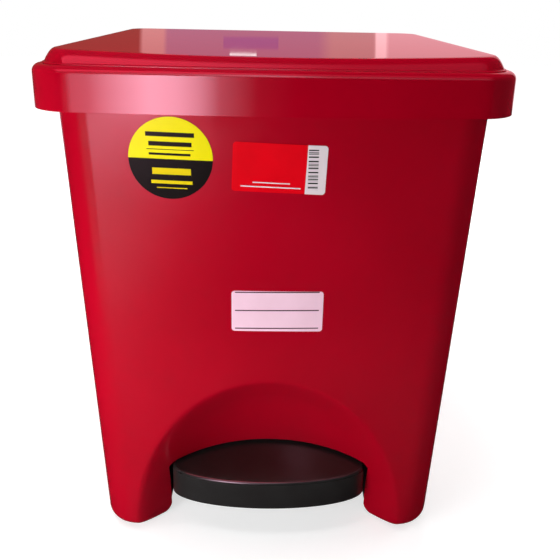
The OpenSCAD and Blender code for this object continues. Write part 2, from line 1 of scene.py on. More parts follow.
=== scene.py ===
# %% [markdown]
# # Pedal bin
# This lesson dresses a packed pedal bin: a red moulded body and lid, a black pedal in an arched
# niche, and the bucket and the linkage inside. The imported model gives every place and every joint,
# so it is loaded first and is never moved.

# %% Load the imported model
import json
import math

import bmesh
import bpy
from mathutils import Matrix, Vector

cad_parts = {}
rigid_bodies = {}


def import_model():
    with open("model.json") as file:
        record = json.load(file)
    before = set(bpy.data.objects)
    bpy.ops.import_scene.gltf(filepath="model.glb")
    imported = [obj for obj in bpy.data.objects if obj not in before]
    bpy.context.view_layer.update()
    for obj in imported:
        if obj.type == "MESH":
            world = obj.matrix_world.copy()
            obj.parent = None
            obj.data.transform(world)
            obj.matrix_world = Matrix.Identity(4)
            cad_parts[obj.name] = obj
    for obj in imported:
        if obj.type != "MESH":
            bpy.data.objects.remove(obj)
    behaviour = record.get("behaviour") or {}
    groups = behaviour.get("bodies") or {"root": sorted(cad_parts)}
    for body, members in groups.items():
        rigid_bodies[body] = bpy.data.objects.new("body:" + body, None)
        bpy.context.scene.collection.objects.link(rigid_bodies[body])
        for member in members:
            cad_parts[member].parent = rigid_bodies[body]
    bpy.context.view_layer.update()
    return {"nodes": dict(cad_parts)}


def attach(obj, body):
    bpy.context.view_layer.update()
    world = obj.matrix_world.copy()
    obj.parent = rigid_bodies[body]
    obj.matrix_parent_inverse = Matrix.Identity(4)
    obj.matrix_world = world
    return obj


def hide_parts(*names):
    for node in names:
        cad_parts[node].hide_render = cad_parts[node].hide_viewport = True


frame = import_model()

# %% [markdown]
# ## The driving sizes
# The solids were drawn in millimetres, so the same named sizes are used here. Every mesh is modelled
# in millimetres and scaled to metres once, when its object is made. That keeps the formulas readable
# and leaves each object unscaled at the origin.

# %% Sizes in millimetres
MM = 0.001
BODY_W, BODY_D, RIM_Z = 333, 323, 415
FLOOR_GAP, FOOT_R = 2, 10
WALL_TAPER, REAR_TAPER = math.radians(2.1), math.radians(0.9)
WALL, CORNER_R, FRONT_BOW = 2.5, 30, 9
OVERHANG, SKIRT_H, LEDGE_UP = 13.5, 32, 10
LID_CORNER_R, LID_WALL = 36, 2.5
HINGE_BACK, HINGE_DROP, HINGE_X = 7, 8, 92

SKIRT_Z = RIM_Z + LEDGE_UP - SKIRT_H
LEDGE_Z = RIM_Z + LEDGE_UP
LID_HW = BODY_W / 2 + OVERHANG
LID_REAR = BODY_D / 2 + OVERHANG
HINGE_Y = BODY_D / 2 + HINGE_BACK
HINGE_Z = SKIRT_Z - HINGE_DROP
LOW_FRONT = -BODY_D / 2 + (RIM_Z - FLOOR_GAP) * math.tan(WALL_TAPER)
print("hinge axis at y", HINGE_Y, "z", HINGE_Z, "lower front edge at y", round(LOW_FRONT, 1))

# %% [markdown]
# ## The plan outline
# Seen from above, the body, the lid and the bucket share one outline: a bowed front, four round
# corners and straight sides and rear. It could be a bevelled rectangle, but the bow has to run into
# the corners without a kink. So each stretch is an arc or a line that starts where the last one ends.

# %% Steps, arcs and lines
QUARTER = math.pi / 2


def steps(start, stop, count):
    """Even steps from one number towards another, without the last one."""
    return [start + (stop - start) * i / count for i in range(count)]


def rounding(count):
    """Run and rise of a round edge of radius 1, at each step of a quarter turn."""
    turns = steps(0, QUARTER, count) + [QUARTER]
    return [(1 - math.cos(t), math.sin(t)) for t in turns]


def arc_points(centre, radius, start, stop, cuts):
    """Points along an arc, without its last one."""
    turns = steps(start, stop, cuts)
    return [(centre[0] + radius * math.cos(t), centre[1] + radius * math.sin(t)) for t in turns]


def line_points(start, stop, cuts):
    """Points along a line, without its last one."""
    a, b = Vector(start), Vector(stop)
    return [tuple(a.lerp(b, share)) for share in steps(0, 1, cuts)]


print("half way round an edge, run and rise:", [round(n, 3) for n in rounding(2)[1]])

# %% Outline of the body
BODY_CUTS = (120, 12, 20, 30)


def outline(hw, front, rear, r, bow, cuts):
    """Plan outline from half width, front, rear, corner radius, bow, and cuts per stretch."""
    on_bow, on_corner, on_side, on_rear = cuts
    big = (hw * hw + bow * bow) / (2 * bow)
    cx = hw - r
    cy = front + big - math.sqrt((big - r) ** 2 - cx * cx)
    sweep = math.asin(cx / (big - r))
    return (
        arc_points((0, front + big), big, -QUARTER - sweep, -QUARTER + sweep, on_bow)
        + arc_points((cx, cy), r, -QUARTER + sweep, 0, on_corner)
        + line_points((hw, cy), (hw, rear - r), on_side)
        + arc_points((cx, rear - r), r, 0, QUARTER, on_corner)
        + line_points((cx, rear), (-cx, rear), on_rear)
        + arc_points((-cx, rear - r), r, QUARTER, math.pi, on_corner)
        + line_points((-hw, rear - r), (-hw, cy), on_side)
        + arc_points((-cx, cy), r, math.pi, math.pi + QUARTER - sweep, on_corner)
    )


def lean(z):
    """How far the side and front walls have come in at a height."""
    return (RIM_Z - z) * math.tan(WALL_TAPER)


def rear_at(z):
    """Place of the rear wall at a height."""
    return BODY_D / 2 - (RIM_Z - z) * math.tan(REAR_TAPER)


def body_plan(z, cuts, grow=0):
    """Outline of the body at a height, grown outwards by an amount."""
    hw, front = BODY_W / 2 - lean(z) + grow, -BODY_D / 2 + lean(z) - grow
    return outline(hw, front, rear_at(z) + grow, CORNER_R + grow, FRONT_BOW, cuts)


print("points in an outline of the body:", len(body_plan(RIM_Z, BODY_CUTS)))

# %% [markdown]
# ## Loft and finish
# A moulded shell is a stack of outlines. The loft starts from one circle of vertices, sets it on the
# first outline, and then extrudes its edges level by level. Each vertex carries its number in the ring
# in a layer that the extrusion copies, so it can be set on the next outline. The finish scales to
# metres, turns the faces outwards, and adds the wall and a fine edge rounding as live modifiers.

# %% Loft
def loft(rings, close_at=None):
    """Mesh through a list of rings of points, closed to a point at the end where one is given."""
    bm = bmesh.new()
    number = bm.verts.layers.int.new("number")
    ring = bmesh.ops.create_circle(bm, segments=len(rings[0]), radius=1)["verts"]
    for i, v in enumerate(ring):
        v[number] = i
        v.co = rings[0][i]
    edges = list(bm.edges)
    for points in rings[1:]:
        made = bmesh.ops.extrude_edge_only(bm, edges=edges)["geom"]
        ring = [g for g in made if isinstance(g, bmesh.types.BMVert)]
        edges = [g for g in made if isinstance(g, bmesh.types.BMEdge) and g.is_boundary]
        for v in ring:
            v.co = points[v[number]]
    if close_at is not None:
        bmesh.ops.pointmerge(bm, verts=ring, merge_co=close_at)
    return bm


sample = loft([[(*p, z) for p in body_plan(z, BODY_CUTS)] for z in (FLOOR_GAP, RIM_Z)])
print("a plain body of two rings has", len(sample.faces), "faces")
sample.free()

# %% Objects and their finish
SOFT_SEGMENTS, SHARP_ANGLE = 2, math.radians(40)


def new_object(name, bm, finish):
    """Object at the origin from a mesh, which is then freed."""
    mesh = bpy.data.meshes.new(name)
    bm.to_mesh(mesh)
    bm.free()
    mesh.materials.append(finish)
    obj = bpy.data.objects.new(name, mesh)
    bpy.context.scene.collection.objects.link(obj)
    return obj


def finish_piece(name, bm, body, finish, wall=0, edge=0, outwards=True, smooth=True):
    """Piece from a mesh in millimetres that rides on a body and takes a finish."""
    if outwards:
        bmesh.ops.recalc_face_normals(bm, faces=bm.faces)
    bmesh.ops.scale(bm, vec=(MM, MM, MM), verts=bm.verts)
    obj = new_object(name, bm, finish)
    if smooth:
        obj.data.shade_smooth()
    if wall:
        shell = obj.modifiers.new("wall", "SOLIDIFY")
        shell.thickness = wall * MM
        shell.offset = -1
        shell.use_even_offset = True
    if edge:
        soft = obj.modifiers.new("edge", "BEVEL")
        soft.width = edge * MM
        soft.segments = SOFT_SEGMENTS
        soft.limit_method = "ANGLE"
        soft.angle_limit = SHARP_ANGLE
        soft.harden_normals = True
    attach(obj, body)
    print("made", name, "with", len(obj.data.polygons), "faces")
    return obj


print("edges sharper than", round(math.degrees(SHARP_ANGLE)), "degrees are rounded")

# %% [markdown]
# ## A small kit for materials
# Every finish is a Principled shader with procedural detail on Object coordinates, so that the
# pattern is fixed to the piece. One helper adds a node and either links or sets its inputs, which
# keeps each finish to a few lines. Most detail is noise: patches of colour or gloss, and a fine relief.

# %% Nodes and sockets
def put(mat, socket, value):
    """Link a socket to another, or set its value."""
    if isinstance(value, bpy.types.NodeSocket):
        mat.node_tree.links.new(value, socket)
    else:
        socket.default_value = value


def add_node(mat, kind, **inputs):
    """Node of a kind; a value that is a socket is linked, and any other is set."""
    made = mat.node_tree.nodes.new("ShaderNode" + kind)
    for key, value in inputs.items():
        put(mat, made.inputs[key.replace("_", " ")], value)
    return made


def new_finish(name, **constants):
    """Material with its shader and its Object coordinates; the constants go on the shader's sockets."""
    mat = bpy.data.materials.new(name)
    mat.use_nodes = True
    shader = mat.node_tree.nodes["Principled BSDF"]
    for key, value in constants.items():
        shader.inputs[key.replace("_", " ")].default_value = value
    return mat, shader, add_node(mat, "TexCoord").outputs["Object"]


def calc(mat, operation, a, b=0.0):
    """Result of a sum on two values."""
    made = mat.node_tree.nodes.new("ShaderNodeMath")
    made.operation = operation
    put(mat, made.inputs[0], a)
    put(mat, made.inputs[1], b)
    return made.outputs[0]


def mixed(mat, share, first, second):
    """Colour between two, by a share."""
    made = mat.node_tree.nodes.new("ShaderNodeMix")
    made.data_type = "RGBA"
    colours = [s for s in made.inputs if s.type == "RGBA"]
    put(mat, made.inputs["Factor"], share)
    put(mat, colours[0], first)
    put(mat, colours[1], second)
    return next(s for s in made.outputs if s.type == "RGBA")


print("materials are built by", [f.__name__ for f in (put, add_node, new_finish, calc, mixed)])

# %% Ranges, patches and relief
def spread(mat, value, low, high, to_low, to_high):
    """A value moved from one range to another, and kept inside it."""
    made = add_node(mat, "MapRange", Value=value, From_Min=low, From_Max=high, To_Min=to_low, To_Max=to_high)
    return made.outputs["Result"]


def place_along(mat, coords, axis):
    """Place along one axis, in metres."""
    return add_node(mat, "SeparateXYZ", Vector=coords).outputs[axis]


def noise(mat, coords, size, detail):
    """Noise with grains of about a size in millimetres."""
    made = add_node(mat, "TexNoise", Vector=coords, Scale=1 / (size * MM), Detail=detail)
    return made.outputs["Fac"]


def patches(mat, coords, size, detail, low=0.3, high=0.7, ends=(0.0, 1.0)):
    """Noise whose usual range is spread between two ends."""
    return spread(mat, noise(mat, coords, size, detail), low, high, *ends)


def relief(mat, shader, coords, size, detail, strength, depth):
    """Fine relief of noise on a shader, with its grain and its depth in millimetres."""
    height = noise(mat, coords, size, detail)
    made = add_node(mat, "Bump", Height=height, Strength=strength, Distance=depth * MM)
    put(mat, shader.inputs["Normal"], made.outputs["Normal"])


print("a grain of 4 mm is a noise scale of", round(1 / (4 * MM)))

# %% [markdown]
# ## Red moulded plastic
# The body and the lid are glossy polypropylene. Close up it has three things: slow drifts of colour
# where the melt flowed, a faint orange peel a few millimetres across, and fine scuffs that dull the
# gloss, more so low down where shoes rub. A flat red would look like paint on card, so all three are
# mixed from noise.

# %% Red plastic
SCUFF_LOW, SCUFF_HIGH, SCUFF_MORE, SCUFF_RANGE = 120, 260, 0.06, 1.6


def red_plastic(name, light, deep, gloss, peel_depth):
    """Glossy red moulding with drifts of colour, orange peel and scuffs."""
    mat, shader, coords = new_finish(name, IOR=1.49, Specular_IOR_Level=0.5)
    drift = patches(mat, coords, size=120, detail=3.0, low=0.35, high=0.65)
    scuffs = patches(mat, coords, size=9, detail=6.0, high=0.75, ends=(gloss, gloss * SCUFF_RANGE))
    height = place_along(mat, coords, "Z")
    shoes = spread(mat, height, SCUFF_LOW * MM, SCUFF_HIGH * MM, SCUFF_MORE, 0.0)
    put(mat, shader.inputs["Base Color"], mixed(mat, drift, light, deep))
    put(mat, shader.inputs["Roughness"], calc(mat, "ADD", scuffs, shoes))
    relief(mat, shader, coords, size=4, detail=1.0, strength=0.12, depth=peel_depth)
    return mat


red_body = red_plastic("red_body", light=(0.44, 0.0004, 0.0135, 1), deep=(0.4, 0.0003, 0.0115, 1),
                       gloss=0.1, peel_depth=0.08)
red_lid = red_plastic("red_lid", light=(0.45, 0.0004, 0.014, 1), deep=(0.41, 0.0003, 0.012, 1),
                      gloss=0.03, peel_depth=0.008)
print("finishes", red_body.name, red_lid.name)

# %% [markdown]
# ## The foot niche
# The front of the body is pressed in by an oval hollow for the foot. A boolean would leave a hard rim
# round the arch, while the real rim is softly rolled. So every front point is moved to the deeper of
# the wall and the hollow, with a smooth change between the two. The roll makes the arch look wider, so
# its oval is drawn a little smaller than on the solid.

# %% Rings of the body with the niche
NICHE_HW, NICHE_H, NICHE_D, NICHE_OUT = 128, 171, 101, 38
NICHE_Y = LOW_FRONT - NICHE_OUT
NICHE_ROLL, ROLL_OUT = 24, 4


def rolled_in(x, y, z):
    """Depth of a front point after the niche is pressed in, with a rolled rim."""
    share = 1 - (x / (NICHE_HW - ROLL_OUT)) ** 2 - (z / (NICHE_H - ROLL_OUT)) ** 2
    if y > 0 or share <= 0:
        return y
    hollow = NICHE_Y + NICHE_D * math.sqrt(share)
    near = max(NICHE_ROLL - abs(hollow - y), 0) / NICHE_ROLL
    return max(hollow, y) + near * near * NICHE_ROLL / 4


def body_ring(z):
    """Ring of the body at a height, with the lower edge's rounding and the niche."""
    up = min(z - FLOOR_GAP, FOOT_R)
    tuck = FOOT_R - math.sqrt(FOOT_R ** 2 - (FOOT_R - up) ** 2)
    return [(x, rolled_in(x, y, z), z) for x, y in body_plan(z, BODY_CUTS, -tuck)]


print("the niche is", round(NICHE_D - NICHE_OUT), "mm deep at the floor")

# %% [markdown]
# ## The pedal's slot and the legs
# The pedal comes out through a slot in the niche, and the lift bracket passes a notch in the rear rim.
# Both are cut by planes, which leaves clean edges on the curved wall. The slot has small cut corners
# above. The two legs beside it end in a rounding, which is made from a few flats cut one by one.

# %% Window and leg cutters
SLOT_HW, SLOT_H, SLOT_CORNER = 92, 62.5, 4
TOE_R, TOE_FLATS = 9, 4
CUT_ROOM, WINDOW_SNAP, TOE_SNAP = 12, 0.01, 0.001


def cut_faces(bm, faces, spot, across, snap, clear=False):
    """Cut some faces by a plane, and take away what lies beyond it where asked."""
    parts = dict.fromkeys(g for f in faces for g in (*f.verts, *f.edges))
    bmesh.ops.bisect_plane(bm, geom=[*parts, *faces], dist=snap, plane_co=spot, plane_no=across,
                           clear_outer=clear)


def cut_window(bm, hw, low, high, front, corner):
    """Cut a window's edges and its upper corners into a wall, and take out the faces inside."""
    def inside(face, room):
        c = face.calc_center_median()
        in_corner = abs(c.x) + c.z < hw + high - corner + room
        return abs(c.x) < hw + room and low - room < c.z < high + room and in_corner and (c.y < 0) == front

    sides = [((hw, 0, 0), (1, 0, 0)), ((-hw, 0, 0), (1, 0, 0))]
    ends = [((0, 0, low), (0, 0, 1)), ((0, 0, high), (0, 0, 1))]
    corners = [((hw - corner, 0, high), (1, 0, 1)), ((corner - hw, 0, high), (-1, 0, 1))]
    for spot, across in sides + ends + corners:
        cut_faces(bm, [f for f in bm.faces if inside(f, CUT_ROOM)], spot, across, WINDOW_SNAP)
    bmesh.ops.delete(bm, geom=[f for f in bm.faces if inside(f, 0)], context="FACES")


def leg_corner(face, side):
    """Whether a face lies at the lower inner corner of a leg."""
    c = face.calc_center_median()
    return c.y < 0 and c.z < FLOOR_GAP + TOE_R and 0 < side * c.x - SLOT_HW < TOE_R


def round_toes(bm):
    """Round the lower inner corner of both legs with a few flats."""
    for side in (-1, 1):
        for turn in steps(0, QUARTER, TOE_FLATS + 1)[1:]:
            out = Vector((-side * math.cos(turn), 0, -math.sin(turn)))
            spot = Vector((side * (SLOT_HW + TOE_R), 0, FLOOR_GAP + TOE_R)) + out * TOE_R
            cut_faces(bm, [f for f in bm.faces if leg_corner(f, side)], spot, out, TOE_SNAP, clear=True)


print("the slot is", 2 * SLOT_HW, "mm wide and", SLOT_H, "mm high")

# %% [markdown]
# ## The outer body
# The body is one thin moulding with a rounded lower edge. Its rings stand close together up to the top
# of the niche, where the shape changes fast, and wide apart above. The wall's thickness comes last, so
# that the cut edges get it too.

# %% Body shell
FOOT_STEPS, FINE_STEPS, PLAIN_STEPS, FINE_TO = 8, 100, 22, 195
NOTCH_HW, NOTCH_UP, PAST_RIM = 17, 3.25, 1
heights = [FLOOR_GAP + FOOT_R * run for run, rise in rounding(FOOT_STEPS)[:-1]]
heights += steps(FLOOR_GAP + FOOT_R, FINE_TO, FINE_STEPS)
heights += steps(FINE_TO, RIM_Z, PLAIN_STEPS) + [RIM_Z]
body_mesh = loft([body_ring(z) for z in heights])
cut_window(body_mesh, SLOT_HW, 0, SLOT_H, True, SLOT_CORNER)
cut_window(body_mesh, NOTCH_HW, HINGE_Z + NOTCH_UP, RIM_Z + PAST_RIM, False, 0)
round_toes(body_mesh)
body_shell = finish_piece("body_shell", body_mesh, "body", red_body, wall=WALL, edge=0.6)
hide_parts("outer_body")

# %% [markdown]
# ## Hinge ears and screw bosses
# Behind the rim two pairs of ears carry the hinge pins. Each ear is a ring round the pin with a foot
# that runs into the wall. Two circles are bridged to a flat ring, the side towards the wall is pulled
# straight, points that fall together are merged, and the ring is extruded to its thickness. Inside, four
# round bosses take the base screws.

# %% Eyes and posts
EYE_SIDES, POST_SIDES, POST_EDGE = 40, 32, 0.6
NEAR = 0.01


def eye(bm, x, width, radius, hole, reshape):
    """Ring round the hinge axis, reshaped in its own plane and extruded along X."""
    side_on = Matrix.Translation((x - width / 2, HINGE_Y, HINGE_Z)) @ Matrix.Rotation(QUARTER, 4, "Y")
    rim = bmesh.ops.create_circle(bm, segments=EYE_SIDES, radius=radius, matrix=side_on)["verts"]
    bore = bmesh.ops.create_circle(bm, segments=EYE_SIDES, radius=hole, matrix=side_on)["verts"]
    loops = dict.fromkeys(e for v in rim + bore for e in v.link_edges)
    bmesh.ops.bridge_loops(bm, edges=list(loops))
    for v in rim:
        v.co.y, v.co.z = reshape(v.co.y, v.co.z)
    bmesh.ops.remove_doubles(bm, verts=rim, dist=NEAR)
    flat = list(dict.fromkeys(f for v in bore for f in v.link_faces))
    moved = bmesh.ops.extrude_face_region(bm, geom=flat)["geom"]
    verts = [g for g in moved if isinstance(g, bmesh.types.BMVert)]
    bmesh.ops.translate(bm, vec=(width, 0, 0), verts=verts)


def post(bm, x, y, low, high, radius):
    """Upright round post with its lower edge rounded."""
    centre = Matrix.Translation((x, y, (low + high) / 2))
    made = bmesh.ops.create_cone(bm, cap_ends=True, segments=POST_SIDES, radius1=radius, radius2=radius,
                                 depth=high - low, matrix=centre)
    edges = dict.fromkeys(e for v in made["verts"] for e in v.link_edges)
    ends = [e for e in edges if all(abs(v.co.z - low) < NEAR for v in e.verts)]
    bmesh.ops.bevel(bm, geom=ends, offset=POST_EDGE, segments=2, profile=0.5, affect="EDGES", material=-1)


print("an eye has", EYE_SIDES, "sides and a post", POST_SIDES)

# %% Ears and bosses of the body
EAR_R, EAR_T, PIN_R = 6.5, 6, 2.05
KNUCKLE_W, KNUCKLE_GAP = 14, 0.5
BOSS_LOW, BOSS_HIGH, BOSS_R = 8, 42, 5
BOSS_FRONT_IN, BOSS_REAR_IN = (22, 56), (28, 60)
EAR_FOOT_Y = rear_at(HINGE_Z - EAR_R) - WALL / 2


def ear_shape(y, z):
    """A point of an ear's rim: round behind the pin, and drawn into the wall in front of it."""
    return (y if y > HINGE_Y - NEAR else EAR_FOOT_Y), z


fittings = bmesh.new()
for x in (-HINGE_X, HINGE_X):
    for side in (-1, 1):
        middle = x + side * (KNUCKLE_W / 2 + KNUCKLE_GAP + EAR_T / 2)
        eye(fittings, middle, EAR_T, EAR_R, PIN_R, ear_shape)
low_hw = BODY_W / 2 - lean(FLOOR_GAP)
front_boss = (low_hw - BOSS_FRONT_IN[0], LOW_FRONT + BOSS_FRONT_IN[1])
rear_boss = (low_hw - BOSS_REAR_IN[0], rear_at(FLOOR_GAP) - BOSS_REAR_IN[1])
for x, y in (front_boss, rear_boss):
    for side in (-1, 1):
        post(fittings, side * x, y, BOSS_LOW, BOSS_HIGH, BOSS_R)
finish_piece("body_fittings", fittings, "body", red_body, edge=0.5)

# %% [markdown]
# ## The lid
# The lid has an upright skirt, a rounded upper edge, a narrow ledge with a round step, and a slope up to
# a panel that is level behind and dips towards the middle of its front. All of that is one profile
# carried round the outline. The rings of the panel then shrink to the middle, and each point takes the
# panel's height.

# %% Lid profile
EDGE_R, LEDGE_W, STEP_R, SLOPE_W, PANEL_H = 6, 1.0, 1.2, 8.8, 14.5
SLOPE_FOOT, SLOPE_CURVE = 0.6, 1.75
FRONT_DROP, DISH, TOP_SPARE = 3.5, 3.5, 0.01
LID_CUTS = (72, 14, 40, 48)
TOP_Z = LEDGE_Z + PANEL_H - TOP_SPARE


def panel_level(x, y):
    """Height of the panel: level at the rear, lower in front and lowest in the middle of the front."""
    back = (LID_REAR - y) / (2 * LID_REAR)
    return TOP_Z - back * (FRONT_DROP + DISH * (1 - (x / LID_HW) ** 2))


def lid_ring(inset, z, rise=0.0, shrink=1.0):
    """Ring of the lid at an inset and a level, with a share of the panel's rise."""
    points = outline(LID_HW - inset, -LID_REAR + inset, LID_REAR - inset,
                     LID_CORNER_R - inset, FRONT_BOW, LID_CUTS)
    points = [(shrink * x, shrink * y) for x, y in points]
    return [(x, y, z + rise * (panel_level(x, y) - z)) for x, y in points]


ends = [round(panel_level(0, y), 2) for y in (LID_REAR, -LID_REAR)]
print("middle of the panel, behind and in front, at z", ends)

# %% Lid shell
SKIRT_STEPS, EDGE_STEPS, STEP_STEPS, SLOPE_STEPS, PANEL_STEPS = 6, 8, 6, 12, 24
step_in = EDGE_R + LEDGE_W
slope_in = step_in + STEP_R
rings = [lid_ring(0, z) for z in steps(SKIRT_Z, LEDGE_Z - EDGE_R, SKIRT_STEPS)]
for run, rise in rounding(EDGE_STEPS):
    rings.append(lid_ring(EDGE_R * run, LEDGE_Z - EDGE_R * (1 - rise)))
for run, rise in rounding(STEP_STEPS):
    rings.append(lid_ring(step_in + STEP_R * run, LEDGE_Z + STEP_R * rise))
for share in steps(0, 1, SLOPE_STEPS) + [1]:
    inset = slope_in + SLOPE_FOOT + (SLOPE_W - SLOPE_FOOT) * share
    rings.append(lid_ring(inset, LEDGE_Z + STEP_R, rise=1 - (1 - share) ** SLOPE_CURVE))
for shrink in steps(1, 0, PANEL_STEPS)[1:]:
    rings.append(lid_ring(slope_in + SLOPE_W, LEDGE_Z, rise=1.0, shrink=shrink))
lid_mesh = loft(rings, close_at=(0, 0, panel_level(0, 0)))
lid_shell = finish_piece("lid_shell", lid_mesh, "lid", red_lid, wall=LID_WALL, edge=0.6)
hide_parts("lid")

# %% [markdown]
# ## Under the lid
# Two knuckles hang from the rear of the skirt and turn on the hinge pins, and round bosses under the
# panel hold the rubber buffers and the screws of the lift bracket. A knuckle is made like an ear, with
# its upper half drawn up to the skirt.

# %% Knuckles and bosses of the lid
KNUCKLE_R, ARM_BACK, ARM_UP = 6, 2, 4
CRANK, BRACKET_X, BRACKET_UP, BRACKET_R = 22, 11, 6, 5
BUMPER_X, BUMPER_Y, BUMPER_UP, BUMPER_R = 161.15, 70, 8, 4.5
PANEL_SINK = 2


def knuckle_shape(y, z):
    """A point of the knuckle's rim: round below, drawn up to the skirt above."""
    if z < HINGE_Z + NEAR:
        return y, z
    return max(y, HINGE_Y - ARM_BACK), SKIRT_Z + ARM_UP


under = bmesh.new()
for x in (-HINGE_X, HINGE_X):
    eye(under, x, KNUCKLE_W, KNUCKLE_R, PIN_R, knuckle_shape)
bosses = [(BRACKET_X, HINGE_Y - CRANK, BRACKET_UP, BRACKET_R)]
bosses += [(BUMPER_X, y, BUMPER_UP, BUMPER_R) for y in (-BUMPER_Y, BUMPER_Y)]
for x, y, up, radius in bosses:
    for side in (-1, 1):
        post(under, side * x, y, RIM_Z + up, panel_level(x, y) - PANEL_SINK, radius)
finish_piece("lid_fittings", under, "lid", red_lid, edge=0.5)

# %% [markdown]
# ## Satin black plastic
# The pedal is a black moulding with a fine satin grain. Shoes have made its tone a little uneven and have
# polished its upper edge. The polish lies between two heights, so it is a change of roughness along Z.

# %% Satin black
PEDAL_HW, PEDAL_H, PEDAL_L, PEDAL_BOW, PEDAL_EDGE = 89, 28, 71, 25, 3
PEDAL_PLAY, PEDAL_PROUD, PEDAL_WALL = 3, 1.5, 3
PEDAL_TOP = SLOT_H - PEDAL_PLAY
RUB_FADE, POLISH = 0.4, 0.2


def satin_black(name, grey, rubbed=(0, 0)):
    """Black moulded plastic with a fine grain, polished between two heights where shoes rub it."""
    mat, shader, coords = new_finish(name, IOR=1.5, Specular_IOR_Level=0.5)
    rub = patches(mat, coords, size=30, detail=5.0)
    dark = (grey, grey, grey * 0.95, 1)
    worn = (grey * 1.5, grey * 1.5, grey * 1.45, 1)
    put(mat, shader.inputs["Base Color"], mixed(mat, rub, dark, worn))
    height = place_along(mat, coords, "Z")
    low, high = rubbed[0] * MM, rubbed[1] * MM
    start = spread(mat, height, low, low + RUB_FADE * MM, 0.0, POLISH)
    stop = spread(mat, height, high - RUB_FADE * MM, high, 0.0, POLISH)
    rough = spread(mat, rub, 0.0, 1.0, 0.36, 0.3)
    polished = calc(mat, "SUBTRACT", rough, calc(mat, "SUBTRACT", start, stop))
    put(mat, shader.inputs["Roughness"], polished)
    relief(mat, shader, coords, size=0.7, detail=2.0, strength=0.1, depth=0.03)
    return mat


black_pedal = satin_black("black_pedal", 0.014, (PEDAL_TOP - PEDAL_EDGE, PEDAL_TOP))
print("finish", black_pedal.name, "polished from", PEDAL_TOP - PEDAL_EDGE, "to", PEDAL_TOP)

# %% [markdown]
# ## The pedal
# The pedal has an oval front, a rounded upper edge and a hollow underside. It could be a cut block with a
# pocket, but a moulding has an even wall. So it is lofted like the shells and gets a wall, and its
# rear, which stays inside the body, is left open as on the real moulding.

# %% Pedal
PEDAL_FRONT = LOW_FRONT - PEDAL_PROUD
PEDAL_BACK = PEDAL_FRONT + PEDAL_L
PEDAL_MIDDLE = (PEDAL_FRONT + PEDAL_BACK) / 2
BOW_CUTS, SIDE_CUTS, REAR_CUTS, PEDAL_STEPS = 80, 12, 24, 8


def pedal_ring(inset, z, shrink=1.0):
    """Ring of the pedal: half an ellipse in front and a straight rear edge."""
    hw, shoulder = PEDAL_HW - inset, PEDAL_FRONT + PEDAL_BOW
    turns = steps(math.pi, 0, BOW_CUTS)
    points = [(hw * math.cos(t), shoulder - (PEDAL_BOW - inset) * math.sin(t)) for t in turns]
    points += line_points((hw, shoulder), (hw, PEDAL_BACK), SIDE_CUTS)
    points += line_points((hw, PEDAL_BACK), (-hw, PEDAL_BACK), REAR_CUTS)
    points += line_points((-hw, PEDAL_BACK), (-hw, shoulder), SIDE_CUTS)
    return [(shrink * x, PEDAL_MIDDLE + shrink * (y - PEDAL_MIDDLE), z) for x, y in points]


rings = [pedal_ring(0, z) for z in steps(PEDAL_TOP - PEDAL_H, PEDAL_TOP - PEDAL_EDGE, PEDAL_STEPS)]
for run, rise in rounding(PEDAL_STEPS):
    rings.append(pedal_ring(PEDAL_EDGE * run, PEDAL_TOP - PEDAL_EDGE * (1 - rise)))
rings += [pedal_ring(PEDAL_EDGE, PEDAL_TOP, shrink) for shrink in steps(1, 0, PEDAL_STEPS)[1:]]
pedal_mesh = loft(rings, close_at=(0, PEDAL_MIDDLE, PEDAL_TOP))
bmesh.ops.recalc_face_normals(pedal_mesh, faces=pedal_mesh.faces)
rear = [f for f in pedal_mesh.faces if f.normal.y > 0.5]
bmesh.ops.delete(pedal_mesh, geom=rear, context="FACES")
pedal = finish_piece("pedal", pedal_mesh, "pedal", black_pedal, wall=PEDAL_WALL, edge=0.6)
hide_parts("pedal_pad")

# %% [markdown]
# ## The bucket inside
# A grey bucket hangs from the rim by its flange and shows when the lid is open. Its inner face and the
# top of the flange are one surface, lofted from the middle of the floor up the wall and out over the
# rim. The wall is added on the hidden side. At the rear the flange has a gap for the lift bracket.

# %% Bucket's finish and rings
BUCKET_Z, BUCKET_WALL, BUCKET_FOOT, FLANGE_T = 84, 2.2, 8, 3
BUCKET_TOP = RIM_Z + FLANGE_T
RIM_IN, REAR_IN, LOW_IN, LOW_REAR_IN = 8.5, 31.5, 20, 5
BUCKET_RIM = Vector((BODY_W / 2 - RIM_IN, -BODY_D / 2 + RIM_IN, BODY_D / 2 - REAR_IN, FRONT_BOW))
LOW_SIDE, LOW_REAR = BUCKET_RIM[0] - LOW_IN, BUCKET_RIM[2] - LOW_REAR_IN
BUCKET_LOW = Vector((LOW_SIDE, NICHE_Y + NICHE_D - WALL, LOW_REAR, FRONT_BOW / 2))
BUCKET_CUTS = (48, 12, 30, 48)


def moulded_grey(name, light, deep, rough):
    """Satin moulding with slow drifts of tone and a fine grain."""
    mat, shader, coords = new_finish(name, IOR=1.5)
    drift = patches(mat, coords, size=60, detail=4.0)
    put(mat, shader.inputs["Base Color"], mixed(mat, drift, light, deep))
    worn = patches(mat, coords, size=14, detail=5.0, ends=(rough, rough + 0.15))
    put(mat, shader.inputs["Roughness"], worn)
    relief(mat, shader, coords, size=1.2, detail=2.0, strength=0.2, depth=0.06)
    return mat


def bucket_ring(z, inset, shrink=1.0):
    """Ring of the bucket's inner face at a height."""
    hw, front, back, bow = BUCKET_LOW.lerp(BUCKET_RIM, (z - BUCKET_Z) / (BUCKET_TOP - BUCKET_Z))
    points = outline(hw - inset, front + inset, back - inset, CORNER_R - inset, bow, BUCKET_CUTS)
    middle = (front + back) / 2
    return [(shrink * x, middle + shrink * (y - middle), z) for x, y in points]


